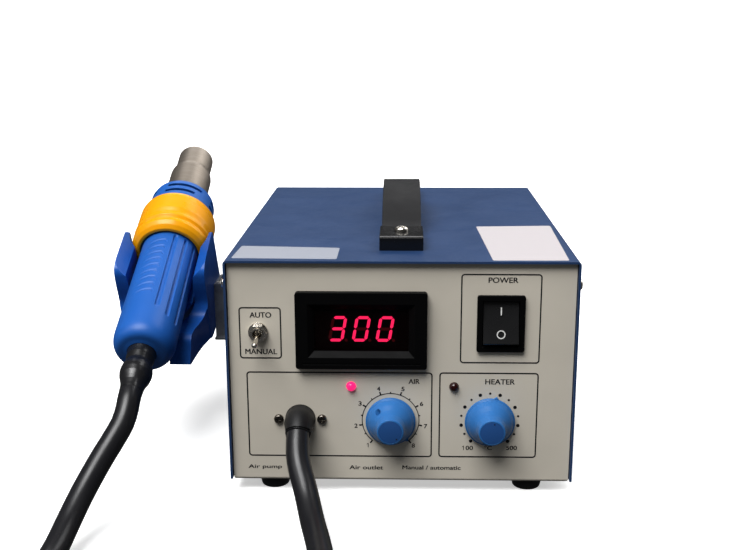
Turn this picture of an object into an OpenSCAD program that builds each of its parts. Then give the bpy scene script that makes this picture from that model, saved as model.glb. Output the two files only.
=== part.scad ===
// Hot air rework station: a cased air pump and controller, with a hot air handpiece
// resting in a cradle on the left side of the case.
// Millimetres. X points to the right as seen from the front, Y to the back, Z up from the bench.
// The modules draw in the case frame: x = 0 in the middle of the case, y = 0 at the front edge
// of the cover, z = 0 on the bench. stood() then moves them so that the origin is under the
// middle of the whole station.

/* [Case] */
// Width of the case over the cover
case_w = 188; // [180:1:200]
// Depth of the cover, front edge to back edge
cover_d = 236; // [230:1:250]
// Height from the underside of the tray to the top of the cover
case_h = 125.5; // [124:0.5:135]
// Sheet thickness of the cover
cover_t = 1.2; // [0.8:0.1:1.6]
// Sheet thickness of the tray
tray_t = 1.2; // [1:0.1:1.6]
// Gap between the cover's sides and the tray
cover_fit = 0.4; // [0.2:0.1:0.8]
// How far the front and rear panels stand back from the cover's edges
panel_recess = 2.5; // [1.5:0.5:4]
// Outside radius of the cover's two top bends
cover_bend_r = 2; // [1.7:0.1:3]
// Outside radius of the tray's lower bends
tray_bend_r = 1.8; // [1.7:0.1:3]
// Distance from the tray's underside to the lower edge of the cover's sides
cover_lift = 1.3; // [1:0.1:3]
// Depth of the tray's returned edges behind the front and rear panels
return_d = 13; // [11:1:16]
// Distance of the cover screws below the top of the cover
cover_screw_drop = 14; // [10:1:20]
// Distance of the cover screws from the panels' outer faces
cover_screw_in = 5.5; // [4.5:0.5:7]

/* [Side vents] */
// Number of slots in each side of the cover
vent_n = 9; // [5:1:11]
// Distance between neighbouring slots
vent_pitch = 7; // [6:0.5:7.5]
// Width of a slot
vent_w = 3; // [2:0.5:3.5]
// Length of a slot
vent_l = 30; // [20:1:40]
// Distance of the last slot from the cover's back edge
vent_back = 24; // [20:1:30]
// Height of the slots' middle above the tray
vent_z = 84; // [70:1:92]

/* [Feet] */
// Height of a foot
foot_h = 7; // [5:0.5:9]
// Radius of a foot at the bench
foot_r_low = 7.6; // [6.5:0.1:8.5]
// Radius of a foot at the tray
foot_r_top = 9.2; // [8.6:0.1:10]
// Distance of the feet from the sides of the case
foot_in_x = 23.2; // [18:0.1:28]
// Distance of the feet from the front and back edges of the cover
foot_in_y = 14.5; // [13:0.5:20]

/* [Carry handle] */
// Width of the strap
strap_w = 22.6; // [18:0.1:23]
// Thickness of the strap
strap_t = 3.6; // [3:0.1:4.5]
// Height of the strap's middle line above its ends
strap_rise = 18; // [14:1:24]
// Distance from the cover's front edge to the front end cap
strap_front = 25; // [20:1:30]
// Length of the handle over its end caps
strap_l = 186; // [176:1:190]
// Width of an end cap
cap_w = 24; // [23.8:0.1:27]
// Length of an end cap
cap_l = 30; // [26:1:34]
// Height of an end cap
cap_h = 8; // [7:0.5:9]
// Radius of the strap's reverse bends at the caps
strap_bend_r = 30; // [24:1:36]

/* [Front panel layout] */
// Toggle switch: sideways place
toggle_x = -76.5; // [-78:0.5:-74]
// Toggle switch: distance below the cover's top
toggle_drop = 39.6; // [36:0.1:44]
// Display: sideways place
display_x = -21.2; // [-24:0.1:-18]
// Display: distance below the cover's top
display_drop = 38; // [36:0.1:40]
// Power switch: sideways place
power_x = 53; // [50:0.5:56]
// Power switch: distance below the cover's top
power_drop = 34.2; // [32:0.1:38]
// Air dial: sideways place
air_x = -5.5; // [-8:0.5:-3]
// Heater dial: sideways place
heater_x = 48.4; // [46:0.1:52]
// Dials: distance below the cover's top
dial_drop = 89.7; // [88:0.1:92]
// Air lamp: sideways place
air_lamp_x = -26.9; // [-29:0.1:-25]
// Heater lamp: sideways place
heater_lamp_x = 28.8; // [27:0.1:30]
// Lamps: distance below the cover's top
lamp_drop = 70.2; // [69:0.1:72]
// Hose outlet: sideways place
outlet_x = -54.8; // [-58:0.1:-52]
// Hose outlet: distance below the cover's top
outlet_drop = 89.2; // [86:0.1:92]

/* [Display] */
// Width of the bezel
bezel_w = 70.2; // [68:0.1:74]
// Height of the bezel
bezel_h = 42.4; // [40:0.1:44]
// How far the bezel stands out of the panel
bezel_t = 4; // [3:0.5:5]
// Width of the window
window_w = 50.7; // [46:0.1:54]
// Height of the window
window_h = 23.2; // [22:0.1:26]
// Width of the slope round the window
slope_w = 3.2; // [2:0.1:3.6]
// Depth of the window below the bezel's face
window_in = 2.4; // [1.5:0.1:2.8]
// Width of the digit block
digits_w = 38; // [34:0.5:42]
// Height of the digit block
digits_h = 19; // [17:0.5:20]

/* [Power switch] */
// Width of the switch frame
power_w = 25.4; // [24:0.1:27]
// Height of the switch frame
power_h = 31.2; // [30:0.1:33]
// How far the frame stands out of the panel
power_t = 2; // [1.5:0.1:3]
// Width of the rocker
rocker_w = 18.8; // [16:0.1:19.5]
// Length of the rocker
rocker_l = 23.4; // [20:0.1:24]
// Tilt of the rocker to each side
rocker_tilt = 11; // [8:1:12]
// Radius of the rocker's pivot pins
rocker_pin_r = 1.6; // [1.2:0.1:2]

/* [Toggle switch] */
// Radius of the threaded bush
bush_r = 3; // [2.8:0.1:3.2]
// How far the bush stands out of the panel
bush_out = 5.5; // [5:0.5:7]
// Length of the lever from its pivot
lever_l = 15; // [13:0.5:17]
// Radius of the ball on the lever's tip
lever_tip_r = 1.6; // [1.4:0.1:2]
// Tilt of the lever to each side
lever_tilt = 13; // [10:1:14]

/* [Dial knobs] */
// Radius of the knob's skirt
skirt_r = 13.6; // [12.5:0.1:14.5]
// Height of the knob above the panel
knob_h = 17.4; // [15:0.1:19]
// Radius of the finger grip at its face
grip_r = 7.1; // [6.5:0.1:8]
// Gap between the skirt and the panel
knob_gap = 0.8; // [0.5:0.1:1.5]
// Radius of the control's shaft
shaft_r = 3; // [2.8:0.1:3.2]
// Turn of the air knob from the middle of its scale
air_turn = 139; // [-140:1:140]
// Turn of the heater knob from the middle of its scale
heater_turn = 14; // [-140:1:140]

/* [Lamps] */
// Radius of a lamp's dome
lamp_r = 2.6; // [2:0.1:2.9]
// How far a lamp's dome stands out of the panel
lamp_out = 2.6; // [2.5:0.1:4]

/* [Hose and outlet] */
// Radius of the air hose
hose_r = 6.25; // [6:0.05:6.5]
// Outside radius of the outlet sleeve
sleeve_r = 8.2; // [7.8:0.1:8.6]
// Bend radius of the outlet sleeve's middle line
sleeve_bend_r = 12; // [10:0.5:14]
// Angle that the sleeve bends down
sleeve_turn = 42; // [42:1:42]
// Distance between the outlet's two screws
outlet_screws = 23.6; // [22.6:0.1:25]

/* [Handpiece] */
// Sideways place of the handpiece's middle line
hand_x = -144.5; // [-150:0.5:-142]
// Distance behind the cover's front edge of the grip ring's upper edge
hand_y = 130; // [126:1:134]
// Distance of that point below the cover's top
hand_drop = 5.1; // [2:0.1:10]
// Tilt of the handpiece above level, nozzle up
hand_tilt = 25.5; // [22:0.5:28]
// Radius of the barrel at the hose end
barrel_r = 17.6; // [17.4:0.1:18]
// Radius of the barrel below the ring
barrel_top_r = 17.2; // [16.8:0.1:17.4]
// Wall of the barrel
barrel_wall = 2.3; // [1.8:0.1:2.6]
// Distance from the ring's upper edge to the barrel's end
barrel_l = 128.6; // [126:0.1:131]
// Length of the yellow grip ring
ring_l = 34.5; // [33:0.5:38]
// Largest radius of the grip ring
ring_r = 24.2; // [23.6:0.1:24.6]
// Radius of the vented collar
collar_r = 21; // [20.6:0.1:21.2]
// Length of the collar above the ring
collar_l = 19.3; // [18:0.1:22]
// Radius of the wide part of the steel tube
tube_r = 13.6; // [13:0.1:14]
// Radius of the tube's mouth
mouth_r = 11.7; // [11:0.1:12.2]
// Distance from the ring's upper edge to the tube's mouth
tube_l = 72; // [68:1:78]
// Wall of the steel tube
tube_wall = 0.8; // [0.6:0.1:1]
// Number of grip grooves along the barrel
groove_n = 3; // [1:1:4]
// Width of a grip groove
groove_w = 2.6; // [1.5:0.1:3]
// Length of the boot on the hose
boot_l = 24; // [24:1:24]

/* [Cradle] */
// Half the width over the cradle's walls
cradle_half = 27.1; // [26.9:0.1:28]
// Thickness of the cradle's walls
cradle_wall = 6.6; // [5.5:0.1:6.8]
// Gap between the barrel and the trough
trough_gap = 0.9; // [0.6:0.1:1.2]
// Thickness of the trough
trough_t = 3; // [2.5:0.1:3.5]
// Lift of the handpiece out of the cradle
lift = 60; // [40:1:80]

/* [Bracket] */
// Sheet thickness of the bracket
bracket_t = 1.5; // [1.2:0.1:2]
// Distance of the bracket's web behind the cover's front edge
bracket_y = 100; // [98:1:102]
// Distance of the bracket's lower edge below the cover's top
bracket_drop = 74; // [71.5:0.5:76.5]
// Height of the bracket
bracket_h = 35.5; // [32:0.5:37]
// Depth of the bracket's two legs
bracket_leg = 25; // [24:1:30]
// Depth of the bracket's front lip
bracket_lip = 4; // [3:0.5:6]

/* [Hidden] */
$fn = 64;

// A hair's breadth that cuts reach past a face
eps = 0.1;
// Running gap between a pin or shaft and its bore
running = 0.05;
// Gap between faces of pieces that move against each other
clear = 0.3;
// Gap that keeps two faces that butt apart
touch = 0.06;

// Heights and depths of the case
tray_z = foot_h;
floor_z = tray_z + tray_t;
top_z = foot_h + case_h;
panel_y = panel_recess;
panel_in = panel_y + tray_t;
rear_y = cover_d - panel_recess;
rear_in = rear_y - tray_t;
tray_w = case_w - 2 * (cover_t + cover_fit);
tray_top = top_z - cover_t - 0.5;
side_x = case_w / 2;
flange_x = tray_w / 2;
foot_x = side_x - foot_in_x;

// Small hardware
m3_r = 1.45;
m3_hole_r = 1.65;
m3_head_r = 3.1;
m3_head_h = 2;
m4_r = 1.95;
m4_hole_r = 2.15;
m4_head_r = 3.8;
m4_head_h = 2.4;
m4_nut_r = 4;
m4_nut_h = 3;

// Heights of what is on the front panel
toggle_z = top_z - toggle_drop;
display_z = top_z - display_drop;
power_z = top_z - power_drop;
dial_z = top_z - dial_drop;
lamp_z = top_z - lamp_drop;
outlet_z = top_z - outlet_drop;
cover_screw_z = top_z - cover_screw_drop;
bracket_low = top_z - bracket_drop;
bracket_top = bracket_low + bracket_h;

// Rear panel layout
inlet_side = 17.5;
inlet_pitch = 40;
inlet_x = side_x - inlet_side - (inlet_pitch + 9) / 2;
inlet_z = floor_z + 36;
fuse_x = 8;
fuse_z = floor_z + 36;
fuse_r = 6;
fuse_out = 12;
rear_vent_x = -52;

// The handpiece's own frame: its z runs along the axis to the nozzle, from the ring's upper edge
hand_z = top_z - hand_drop;
barrel_end = -barrel_l;
cradle_in = cradle_half - cradle_wall;
trough_r = barrel_r + trough_gap;
boot_end = barrel_end - boot_l;

// Middle of the whole station, which the origin stands under
left_x = hand_x - cradle_half;
right_x = side_x + m3_head_h;
sleeve_straight = 6;
sleeve_y = panel_y - sleeve_straight;
front_y = sleeve_y - (sleeve_bend_r + sleeve_r) * sin(sleeve_turn);
back_y = rear_y + fuse_out;
mid_x = (left_x + right_x) / 2;
mid_y = (front_y + back_y) / 2;

// Air hose: middle lines in the case frame, chosen by hand. Where the outlet or the handpiece
// moves with a size, each point follows in proportion to its height above the bench.
coil_x = -106;
coil_y = -190;
coil_r = 74;
outlet_route = [
    [-54.8, -11.53, 40.22], [-54.8, -15.2, 36.9], [-54.2, -21, 31.7], [-52.4, -27, 26.4],
    [-49.9, -33, 21.3], [-47.2, -41, 15.6], [-44.2, -52, 10.6], [-41.2, -63, 7.9],
    [-38.4, -76, 6.7], [-35.4, -94, 6.3], [-33, -118, 6.3], [-32.1, -148, 6.3], [-32.4, -178, 6.3]
];
handpiece_route = [
    [-144.5, -8.0, 61.57], [-144.5, -11.6, 59.85], [-144.7, -16, 55.5], [-146, -21.5, 49.8],
    [-149.6, -28.6, 43.2], [-153.7, -36, 36.5], [-157.9, -45.5, 28.7], [-160.9, -54, 22.4],
    [-163.6, -66, 15.2], [-165.4, -80, 9.4], [-166.9, -92, 7], [-167.4, -103, 8.2],
    [-167.6, -115, 12.2], [-167.6, -127, 16.8], [-167.6, -140, 19], [-167.6, -153, 18.8],
    [-167.6, -166, 15.6], [-167.5, -179, 10.6], [-167, -193, 7], [-165, -207, 6.3]
];
outlet_mouth = [
    outlet_x, sleeve_y - sleeve_bend_r * sin(sleeve_turn) - touch * cos(sleeve_turn),
    outlet_z - sleeve_bend_r * (1 - cos(sleeve_turn)) - touch * sin(sleeve_turn)
];
boot_mouth = [
    hand_x, hand_y + (boot_end - clear) * cos(hand_tilt), hand_z + (boot_end - clear) * sin(hand_tilt)
];

module stood() {
    translate([-mid_x, -mid_y, 0]) children();
}

// Draws a profile given in x and z, from y = y0 over the length d
module along_y(y0, d) {
    translate([0, y0 + d, 0]) rotate([90, 0, 0]) linear_extrude(d) children();
}

// Draws a profile given in y and z, from x = x0 over the width w
module along_x(x0, w) {
    translate([x0, 0, 0]) rotate([90, 0, 90]) linear_extrude(w) children();
}

// A box from its middle in x and z, with its front face at y
module block_y(x, y, z, w, d, h) {
    translate([x - w / 2, y, z - h / 2]) cube([w, d, h]);
}

// A round bar along Y, from y over the length d
module bar_y(x, y, z, d, r, r_end = -1) {
    translate([x, y, z]) rotate([-90, 0, 0]) cylinder(h = d, r1 = r, r2 = r_end < 0 ? r : r_end);
}

// A round bar along X, from x over the length w
module bar_x(x, y, z, w, r) {
    translate([x, y, z]) rotate([0, 90, 0]) cylinder(h = w, r = r);
}

// A hexagonal nut along Y, its bore left open
module hex_y(x, y, z, d, r, bore) {
    difference() {
        translate([x, y, z]) rotate([-90, 0, 0]) cylinder(h = d, r = r, $fn = 6);
        bar_y(x, y - eps, z, d + 2 * eps, bore);
    }
}

// A flat rectangle with four round corners, centred
module round_rect(w, h, r) {
    square([w - 2 * r, h], center = true);
    square([w, h - 2 * r], center = true);
    for (sx = [-1, 1], sz = [-1, 1]) translate([sx * (w / 2 - r), sz * (h / 2 - r)]) circle(r);
}

// Moves to the handpiece's own frame
module on_hand_axis() {
    translate([hand_x, hand_y, hand_z]) rotate([hand_tilt - 90, 0, 0]) children();
}

// A pan head with its shank, pointing along +Z from the head's seat
module pan_screw(head_r, head_h, shank_r, shank_l) {
    difference() {
        translate([0, 0, -head_h]) union() {
            translate([0, 0, head_h * 0.4]) cylinder(h = head_h * 0.6, r = head_r);
            cylinder(h = head_h * 0.4, r1 = head_r * 0.78, r2 = head_r);
        }
        for (a = [0, 90]) rotate(a) translate([0, 0, -head_h]) {
            cube([head_r * 1.1, head_r * 0.24, head_h], center = true);
        }
    }
    cylinder(h = shank_l, r = shank_r);
}

// Swept tube: a ring of points round each point of the route
function unit(v) = v / norm(v);
function route_dir(p, i) = unit(p[min(i + 1, len(p) - 1)] - p[max(i - 1, 0)]);
function route_ring(c, dir, r, n) = let (
    a = unit(cross(dir, [0, 0, 1])),
    b = cross(a, dir)
) [for (k = [0:n - 1]) c + r * (cos(360 * k / n) * a + sin(360 * k / n) * b)];

function hung_from(mouth, route) = let (move = mouth - route[0]) [
    for (p = route) p + move * (p[2] - hose_r) / (route[0][2] - hose_r)
];

module swept_tube(route, r, sides) {
    last = len(route) - 1;
    points = [for (i = [0:last]) each route_ring(route[i], route_dir(route, i), r, sides)];
    walls = [
        for (i = [0:last - 1], k = [0:sides - 1]) let (
            a = i * sides + k,
            b = i * sides + (k + 1) % sides
        ) each [[a, b, b + sides], [a, b + sides, a + sides]]
    ];
    front = [for (k = [sides - 1:-1:0]) k];
    back = [for (k = [0:sides - 1]) last * sides + k];
    polyhedron(points, concat([front], walls, [back]), convexity = 6);
}

// Cover: one sheet bent down at both sides, with vents, screw holes and handle holes
module cover_outline(w, h, r) {
    translate([-w / 2, 0]) square([w, h - r]);
    translate([-w / 2 + r, 0]) square([w - 2 * r, h]);
    for (s = [-1, 1]) translate([s * (w / 2 - r), h - r]) circle(r);
}

module vent_slot(y, z) {
    translate([0, y - vent_w / 2, z - vent_l / 2 + vent_w / 2]) {
        cube([cover_t * 4, vent_w, vent_l - vent_w]);
    }
    for (s = [-1, 1]) bar_x(0, y, z + s * (vent_l - vent_w) / 2, cover_t * 4, vent_w / 2);
}

module cover() {
    color("#2d4a86") stood() difference() {
        translate([0, 0, tray_z + cover_lift]) {
            along_y(0, cover_d) cover_outline(case_w, case_h - cover_lift, cover_bend_r);
        }
        translate([0, 0, tray_z - eps]) along_y(-eps, cover_d + 2 * eps) {
            cover_outline(case_w - 2 * cover_t, case_h - cover_t + eps, cover_bend_r - cover_t);
        }
        for (s = [-1, 1], i = [0:vent_n - 1]) {
            translate([s * side_x - cover_t * 2, 0, 0]) {
                vent_slot(cover_d - vent_back - i * vent_pitch, tray_z + vent_z);
            }
        }
        for (s = [-1, 1], y = cover_screw_ys) {
            bar_x(s * side_x - 3, y, cover_screw_z, 6, m3_hole_r);
        }
        for (y = strap_screw_ys) translate([0, y, top_z - 5]) cylinder(h = 10, r = m4_hole_r);
        for (y = case_bolt_ys) bar_x(-side_x - 3, y, bolt_z, 6, m4_hole_r);
    }
}
cover_screw_ys = [panel_y + cover_screw_in, rear_y - cover_screw_in];

// Tray: front panel, floor and rear panel bent from one sheet, with returned edges
module tray_profile() {
    difference() {
        tray_outline(rear_y - panel_y, tray_top - tray_z, tray_bend_r);
        translate([tray_t, tray_t]) {
            tray_outline(rear_y - panel_y - 2 * tray_t, case_h, tray_bend_r - tray_t);
        }
    }
}

module tray_outline(w, h, r) {
    translate([0, r]) square([w, h - r]);
    translate([r, 0]) square([w - 2 * r, h]);
    for (x = [r, w - r]) translate([x, r]) circle(r);
}

module tray_sheet() {
    intersection() {
        union() {
            translate([0, panel_y, tray_z]) along_x(-tray_w / 2, tray_w) tray_profile();
            for (s = [-1, 1]) translate([s * (flange_x - tray_t / 2), 0, 0]) tray_returns();
        }
        translate([0, 0, tray_z]) along_y(0, cover_d) {
            translate([-tray_w / 2, 0]) tray_outline(tray_w, case_h, tray_bend_r);
        }
    }
}

module tray_returns() {
    for (y = [panel_y + tray_t / 2, rear_y - return_d]) {
        translate([-tray_t / 2, y, tray_z + tray_t / 2]) {
            cube([tray_t, return_d - tray_t / 2, tray_top - tray_z - tray_t / 2]);
        }
    }
    translate([-tray_t / 2, panel_y + return_d, tray_z + tray_t / 2]) {
        cube([tray_t, rear_y - panel_y - 2 * return_d, 12]);
    }
}

module front_holes() {
    y = panel_y - eps;
    d = tray_t + 2 * eps;
    block_y(display_x, y, display_z, bezel_body_w + 0.4, d, bezel_body_h + 0.4);
    block_y(power_x, y, power_z, power_body_w + 0.4, d, power_body_h + 0.4);
    bar_y(toggle_x, y, toggle_z, d, bush_r + 0.1);
    for (x = [air_x, heater_x]) bar_y(x, y, dial_z, d, dial_bush_r + 0.1);
    for (x = [air_lamp_x, heater_lamp_x]) bar_y(x, y, lamp_z, d, lamp_r + 0.1);
    bar_y(outlet_x, y, outlet_z, d, sleeve_r + 0.1);
    for (s = [-1, 1]) bar_y(outlet_x + s * outlet_screws / 2, y, outlet_z, d, m3_hole_r);
}

module rear_holes() {
    y = rear_in - eps;
    d = tray_t + 2 * eps;
    block_y(inlet_x, y, inlet_z, inlet_body_w + 0.4, d, inlet_body_h + 0.4);
    for (s = [-1, 1]) bar_y(inlet_x + s * inlet_pitch / 2, y, inlet_z, d, m3_hole_r);
    bar_y(fuse_x, y, fuse_z, d, fuse_r + 0.1);
    for (i = [-4:4]) {
        block_y(rear_vent_x + i * vent_pitch, y, tray_z + vent_z, vent_w, d, vent_l);
    }
}

module tray() {
    color("#b9b3a2") stood() difference() {
        tray_sheet();
        front_holes();
        rear_holes();
        for (x = [-foot_x, foot_x], y = foot_ys) {
            translate([x, y, tray_z - eps]) cylinder(h = tray_t + 2 * eps, r = m3_hole_r);
        }
        for (p = pump_mount_points) {
            translate([p[0], p[1], tray_z - eps]) cylinder(h = tray_t + 2 * eps, r = mount_stud_r + 0.1);
        }
        for (p = post_points) {
            translate([p[0], p[1], tray_z - eps]) cylinder(h = tray_t + 2 * eps, r = m3_hole_r);
        }
        for (s = [-1, 1], y = cover_screw_ys) {
            bar_x(s * flange_x - 3, y, cover_screw_z, 6, m3_r + running);
        }
    }
}

module cover_screws() {
    color("silver") stood() for (s = [-1, 1], y = cover_screw_ys) {
        translate([s * side_x, y, cover_screw_z]) rotate([0, -s * 90, 0]) {
            pan_screw(m3_head_r, m3_head_h, m3_r, 6);
        }
    }
}

// Feet: rubber bumpers, each held by a screw in a deep counterbore
foot_ys = [foot_in_y, cover_d - foot_in_y];
foot_bore_r = 4.2;
foot_bore_h = 3.5;

module feet() {
    color("#1b1b1c") stood() for (x = [-foot_x, foot_x], y = foot_ys) translate([x, y, 0]) {
        difference() {
            cylinder(h = foot_h, r1 = foot_r_low, r2 = foot_r_top);
            translate([0, 0, -eps]) cylinder(h = foot_bore_h + eps, r = foot_bore_r);
            translate([0, 0, -eps]) cylinder(h = foot_h + 2 * eps, r = m3_hole_r);
        }
    }
}

module foot_screws() {
    color("silver") stood() for (x = [-foot_x, foot_x], y = foot_ys) {
        translate([x, y, foot_bore_h]) pan_screw(m3_head_r, m3_head_h, m3_r, foot_h);
    }
}

// Carry handle: an arched strap whose flat ends sit in two end caps
strap_end = strap_front + strap_l;
strap_mid = (strap_front + strap_end) / 2;
strap_seat = top_z + cap_h / 2;
arch_half = strap_mid - strap_front - cap_l + 2;
arch_angle = 2 * atan(strap_rise / arch_half);
arch_r = arch_half / sin(arch_angle) - strap_bend_r;
strap_screw_in = 15;
strap_screw_ys = [strap_front + strap_screw_in, strap_end - strap_screw_in];
slot_fit = 0.15;

// The strap's line in y and z, shifted across it by o: flat end, reverse bend, arch and back
function arc_steps(y, z, r, from, to, n) = [
    for (i = [1:n]) let (a = from + (to - from) * i / n) [y + r * cos(a), z + r * sin(a)]
];
function strap_line(o) = concat(
    [[strap_front + 4, strap_seat + o], [strap_mid - arch_half, strap_seat + o]],
    arc_steps(strap_mid - arch_half, strap_seat + strap_bend_r, strap_bend_r - o, -90, arch_angle - 90, 10),
    arc_steps(strap_mid, strap_seat + strap_rise - arch_r, arch_r + o, 90 + arch_angle, 90 - arch_angle, 30),
    arc_steps(strap_mid + arch_half, strap_seat + strap_bend_r, strap_bend_r - o, -90 - arch_angle, -90, 10),
    [[strap_end - 4, strap_seat + o]]
);

module strap_side() {
    upper = strap_line(strap_t / 2);
    lower = strap_line(-strap_t / 2);
    polygon(concat(upper, [for (i = [len(lower) - 1:-1:0]) lower[i]]));
}

module carry_strap() {
    color("#26262a") stood() difference() {
        along_x(-strap_w / 2, strap_w) strap_side();
        for (y = strap_screw_ys) {
            translate([0, y, strap_seat - strap_t]) cylinder(h = 2 * strap_t, r = m4_hole_r + 0.3);
        }
    }
}

module strap_cap(y, turn) {
    translate([0, y, top_z]) rotate(turn) difference() {
        along_x(-cap_w / 2, cap_w) {
            polygon([[0, 0], [cap_l, 0], [cap_l, cap_h - 1], [cap_l - 1, cap_h], [1.4, cap_h], [0, cap_h - 0.8]]);
        }
        translate([-strap_w / 2 - slot_fit, 3.5, cap_h / 2 - strap_t / 2 - slot_fit]) {
            cube([strap_w + 2 * slot_fit, cap_l, strap_t + 2 * slot_fit]);
        }
        translate([0, strap_screw_in, -eps]) cylinder(h = cap_h + 2 * eps, r = m4_hole_r);
    }
}

module strap_caps() {
    color("#1d1d1f") stood() {
        strap_cap(strap_front, 0);
        strap_cap(strap_end, 180);
    }
}

module strap_screws() {
    color("silver") stood() for (y = strap_screw_ys) translate([0, y, top_z + cap_h]) {
        rotate([180, 0, 0]) pan_screw(m4_head_r, m4_head_h, m4_r, cap_h + 6);
    }
}

// Display: a bezel clipped in the panel, its tinted window, and the digits behind it
bezel_body_w = bezel_w - 6;
bezel_body_h = bezel_h - 5;
bezel_body_d = 16;
bezel_wall = 1.6;
window_t = 1.5;
bezel_y = panel_y - bezel_t;
window_y = bezel_y + window_in;

module bezel_slope() {
    hull() {
        block_y(display_x, bezel_y - eps, display_z, window_w + 2 * slope_w, eps, window_h + 2 * slope_w);
        block_y(display_x, window_y, display_z, window_w, eps, window_h);
    }
}

module display_bezel() {
    color("#141416") stood() difference() {
        union() {
            translate([display_x, 0, display_z]) along_y(bezel_y, bezel_t) round_rect(bezel_w, bezel_h, 1.5);
            block_y(display_x, panel_y - eps, display_z, bezel_body_w, bezel_body_d, bezel_body_h);
        }
        bezel_slope();
        block_y(display_x, window_y, display_z, window_w, bezel_body_d, window_h);
        block_y(display_x, window_y + 1, display_z, window_w + 4, bezel_body_d + bezel_t, window_h + 4);
        block_y(display_x, window_y + 1 + window_t, display_z,
            bezel_body_w - 2 * bezel_wall, bezel_body_d + bezel_t, bezel_body_h - 2 * bezel_wall);
        block_y(display_x, bezel_y - eps, display_z - bezel_h / 2 + 2.8, bezel_w - 7, 0.4, 0.7);
    }
}

module display_window() {
    color("#2a0508") stood() {
        block_y(display_x, window_y + 1 + 0.1, display_z, window_w + 3.6, window_t - 0.1, window_h + 3.6);
    }
}

module display_module() {
    front = window_y + 1 + window_t + 0.2;
    color("#7c1a20") stood() {
        block_y(display_x, front, display_z, digits_w, 8, digits_h);
        block_y(display_x, front + 8, display_z,
            bezel_body_w - 2 * bezel_wall - 0.4, 1.6, bezel_body_h - 2 * bezel_wall - 0.4);
        block_y(display_x, front + 9.6, display_z + 8, 22, 4, 6);
    }
}

// Power switch: a frame with a snap-in body, and the rocker on two pins
power_body_w = power_w - 3.2;
power_body_h = power_h - 3.4;
power_body_d = 20;
power_y = panel_y - power_t;
pivot_y = panel_y + 2.2;
rocker_side = 0.35;

module power_switch_body() {
    well_w = rocker_w + 2 * rocker_side;
    color("#1a1a1b") stood() {
        difference() {
            union() {
                translate([power_x, 0, power_z]) along_y(power_y, power_t) round_rect(power_w, power_h, 1.2);
                block_y(power_x, panel_y - eps, power_z, power_body_w, power_body_d, power_body_h);
            }
            block_y(power_x, power_y - eps, power_z, well_w, 12, rocker_l + 1.6);
            bar_x(power_x - well_w / 2 - 1, pivot_y, power_z, well_w + 2, rocker_pin_r + running);
        }
        for (z = [-9, 0, 9], x = [-5, 5]) {
            block_y(power_x + x, panel_y + power_body_d - eps, power_z + z, 0.8, 8, 5);
        }
    }
}

// The rocker's outline in y and z round its pivot, seen from the side
module rocker_outline() {
    half = rocker_l / 2;
    polygon([
        [-3.6, 0], [-4.6, half - 0.6], [-4, half], [3.2, half - 1], [4.6, 3], [4.6, -3],
        [3.2, -half + 1], [-4, -half], [-4.6, -half + 0.6]
    ]);
}

module power_rocker() {
    color("#232325") stood() translate([power_x, pivot_y, power_z]) rotate([-rocker_tilt, 0, 0]) {
        along_x(-rocker_w / 2, rocker_w) rocker_outline();
        bar_x(-rocker_w / 2 - rocker_side - 0.9, 0, 0, rocker_w + 2 * rocker_side + 1.8, rocker_pin_r);
    }
}

// Toggle switch: a boxed body with a threaded bush, its nut, and the ball-ended lever
lever_ball_r = 2;
lever_pin_r = 0.6;
lever_pivot_y = panel_y - 1.5;
bush_y = panel_y - bush_out;

module toggle_body() {
    color("#c9c6bd") stood() {
        difference() {
            union() {
                block_y(toggle_x, panel_in + clear, toggle_z, 8, 11, 13);
                bar_y(toggle_x, bush_y, toggle_z, bush_out + 2, bush_r);
            }
            bar_y(toggle_x, bush_y - eps, toggle_z, bush_out + 2, lever_ball_r + running);
            bar_y(toggle_x, bush_y - eps, toggle_z, 2, lever_ball_r + 0.6, lever_ball_r);
            bar_x(toggle_x - bush_r - 1, lever_pivot_y, toggle_z, 2 * bush_r + 2, lever_pin_r + running);
        }
        for (z = [-4.7, 0, 4.7]) block_y(toggle_x, panel_in + 11, toggle_z + z, 2, 5, 0.8);
    }
}

module toggle_nut() {
    color("#cfcfcf") stood() {
        hex_y(toggle_x, panel_y - 3.4, toggle_z, 2.2, 4.8, bush_r + 0.1);
        difference() {
            bar_y(toggle_x, panel_y - 1.2, toggle_z, 1.2, 5.3);
            bar_y(toggle_x, panel_y - 2, toggle_z, 3, bush_r + 0.1);
        }
    }
}

module toggle_lever() {
    color("#d8d8d8") stood() translate([toggle_x, lever_pivot_y, toggle_z]) {
        rotate([90 + lever_tilt, 0, 0]) {
            sphere(lever_ball_r);
            cylinder(h = lever_l - lever_tip_r, r1 = 0.95, r2 = 1.35);
            translate([0, 0, lever_l - lever_tip_r]) sphere(lever_tip_r);
        }
        bar_x(-bush_r + 0.2, 0, 0, 2 * bush_r - 0.4, lever_pin_r);
    }
}

// Dials: two controls behind the panel, their nuts, shafts and knobs
dial_bush_r = 3.6;
dial_body_r = 8.4;
dial_body_d = 10;
dial_bush_out = 4;
knob_y = panel_y - knob_gap;
shaft_out = 12;
knob_well_r = 7.6;
knob_well_d = 4.4;

module dial_controls() {
    color("#8d8d90") stood() for (x = [air_x, heater_x]) {
        difference() {
            union() {
                bar_y(x, panel_in, dial_z, dial_body_d, dial_body_r);
                bar_y(x, panel_y - dial_bush_out, dial_z, dial_bush_out + 2, dial_bush_r);
                block_y(x, panel_in + 5, dial_z - 10, 12, 1.2, 8);
            }
            bar_y(x, panel_y - dial_bush_out - 1, dial_z, 12, shaft_r + running);
        }
    }
}

module dial_nuts() {
    color("silver") stood() for (x = [air_x, heater_x]) {
        hex_y(x, panel_y - 2.4, dial_z, 2.4, 6.2, dial_bush_r + 0.1);
    }
}

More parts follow.
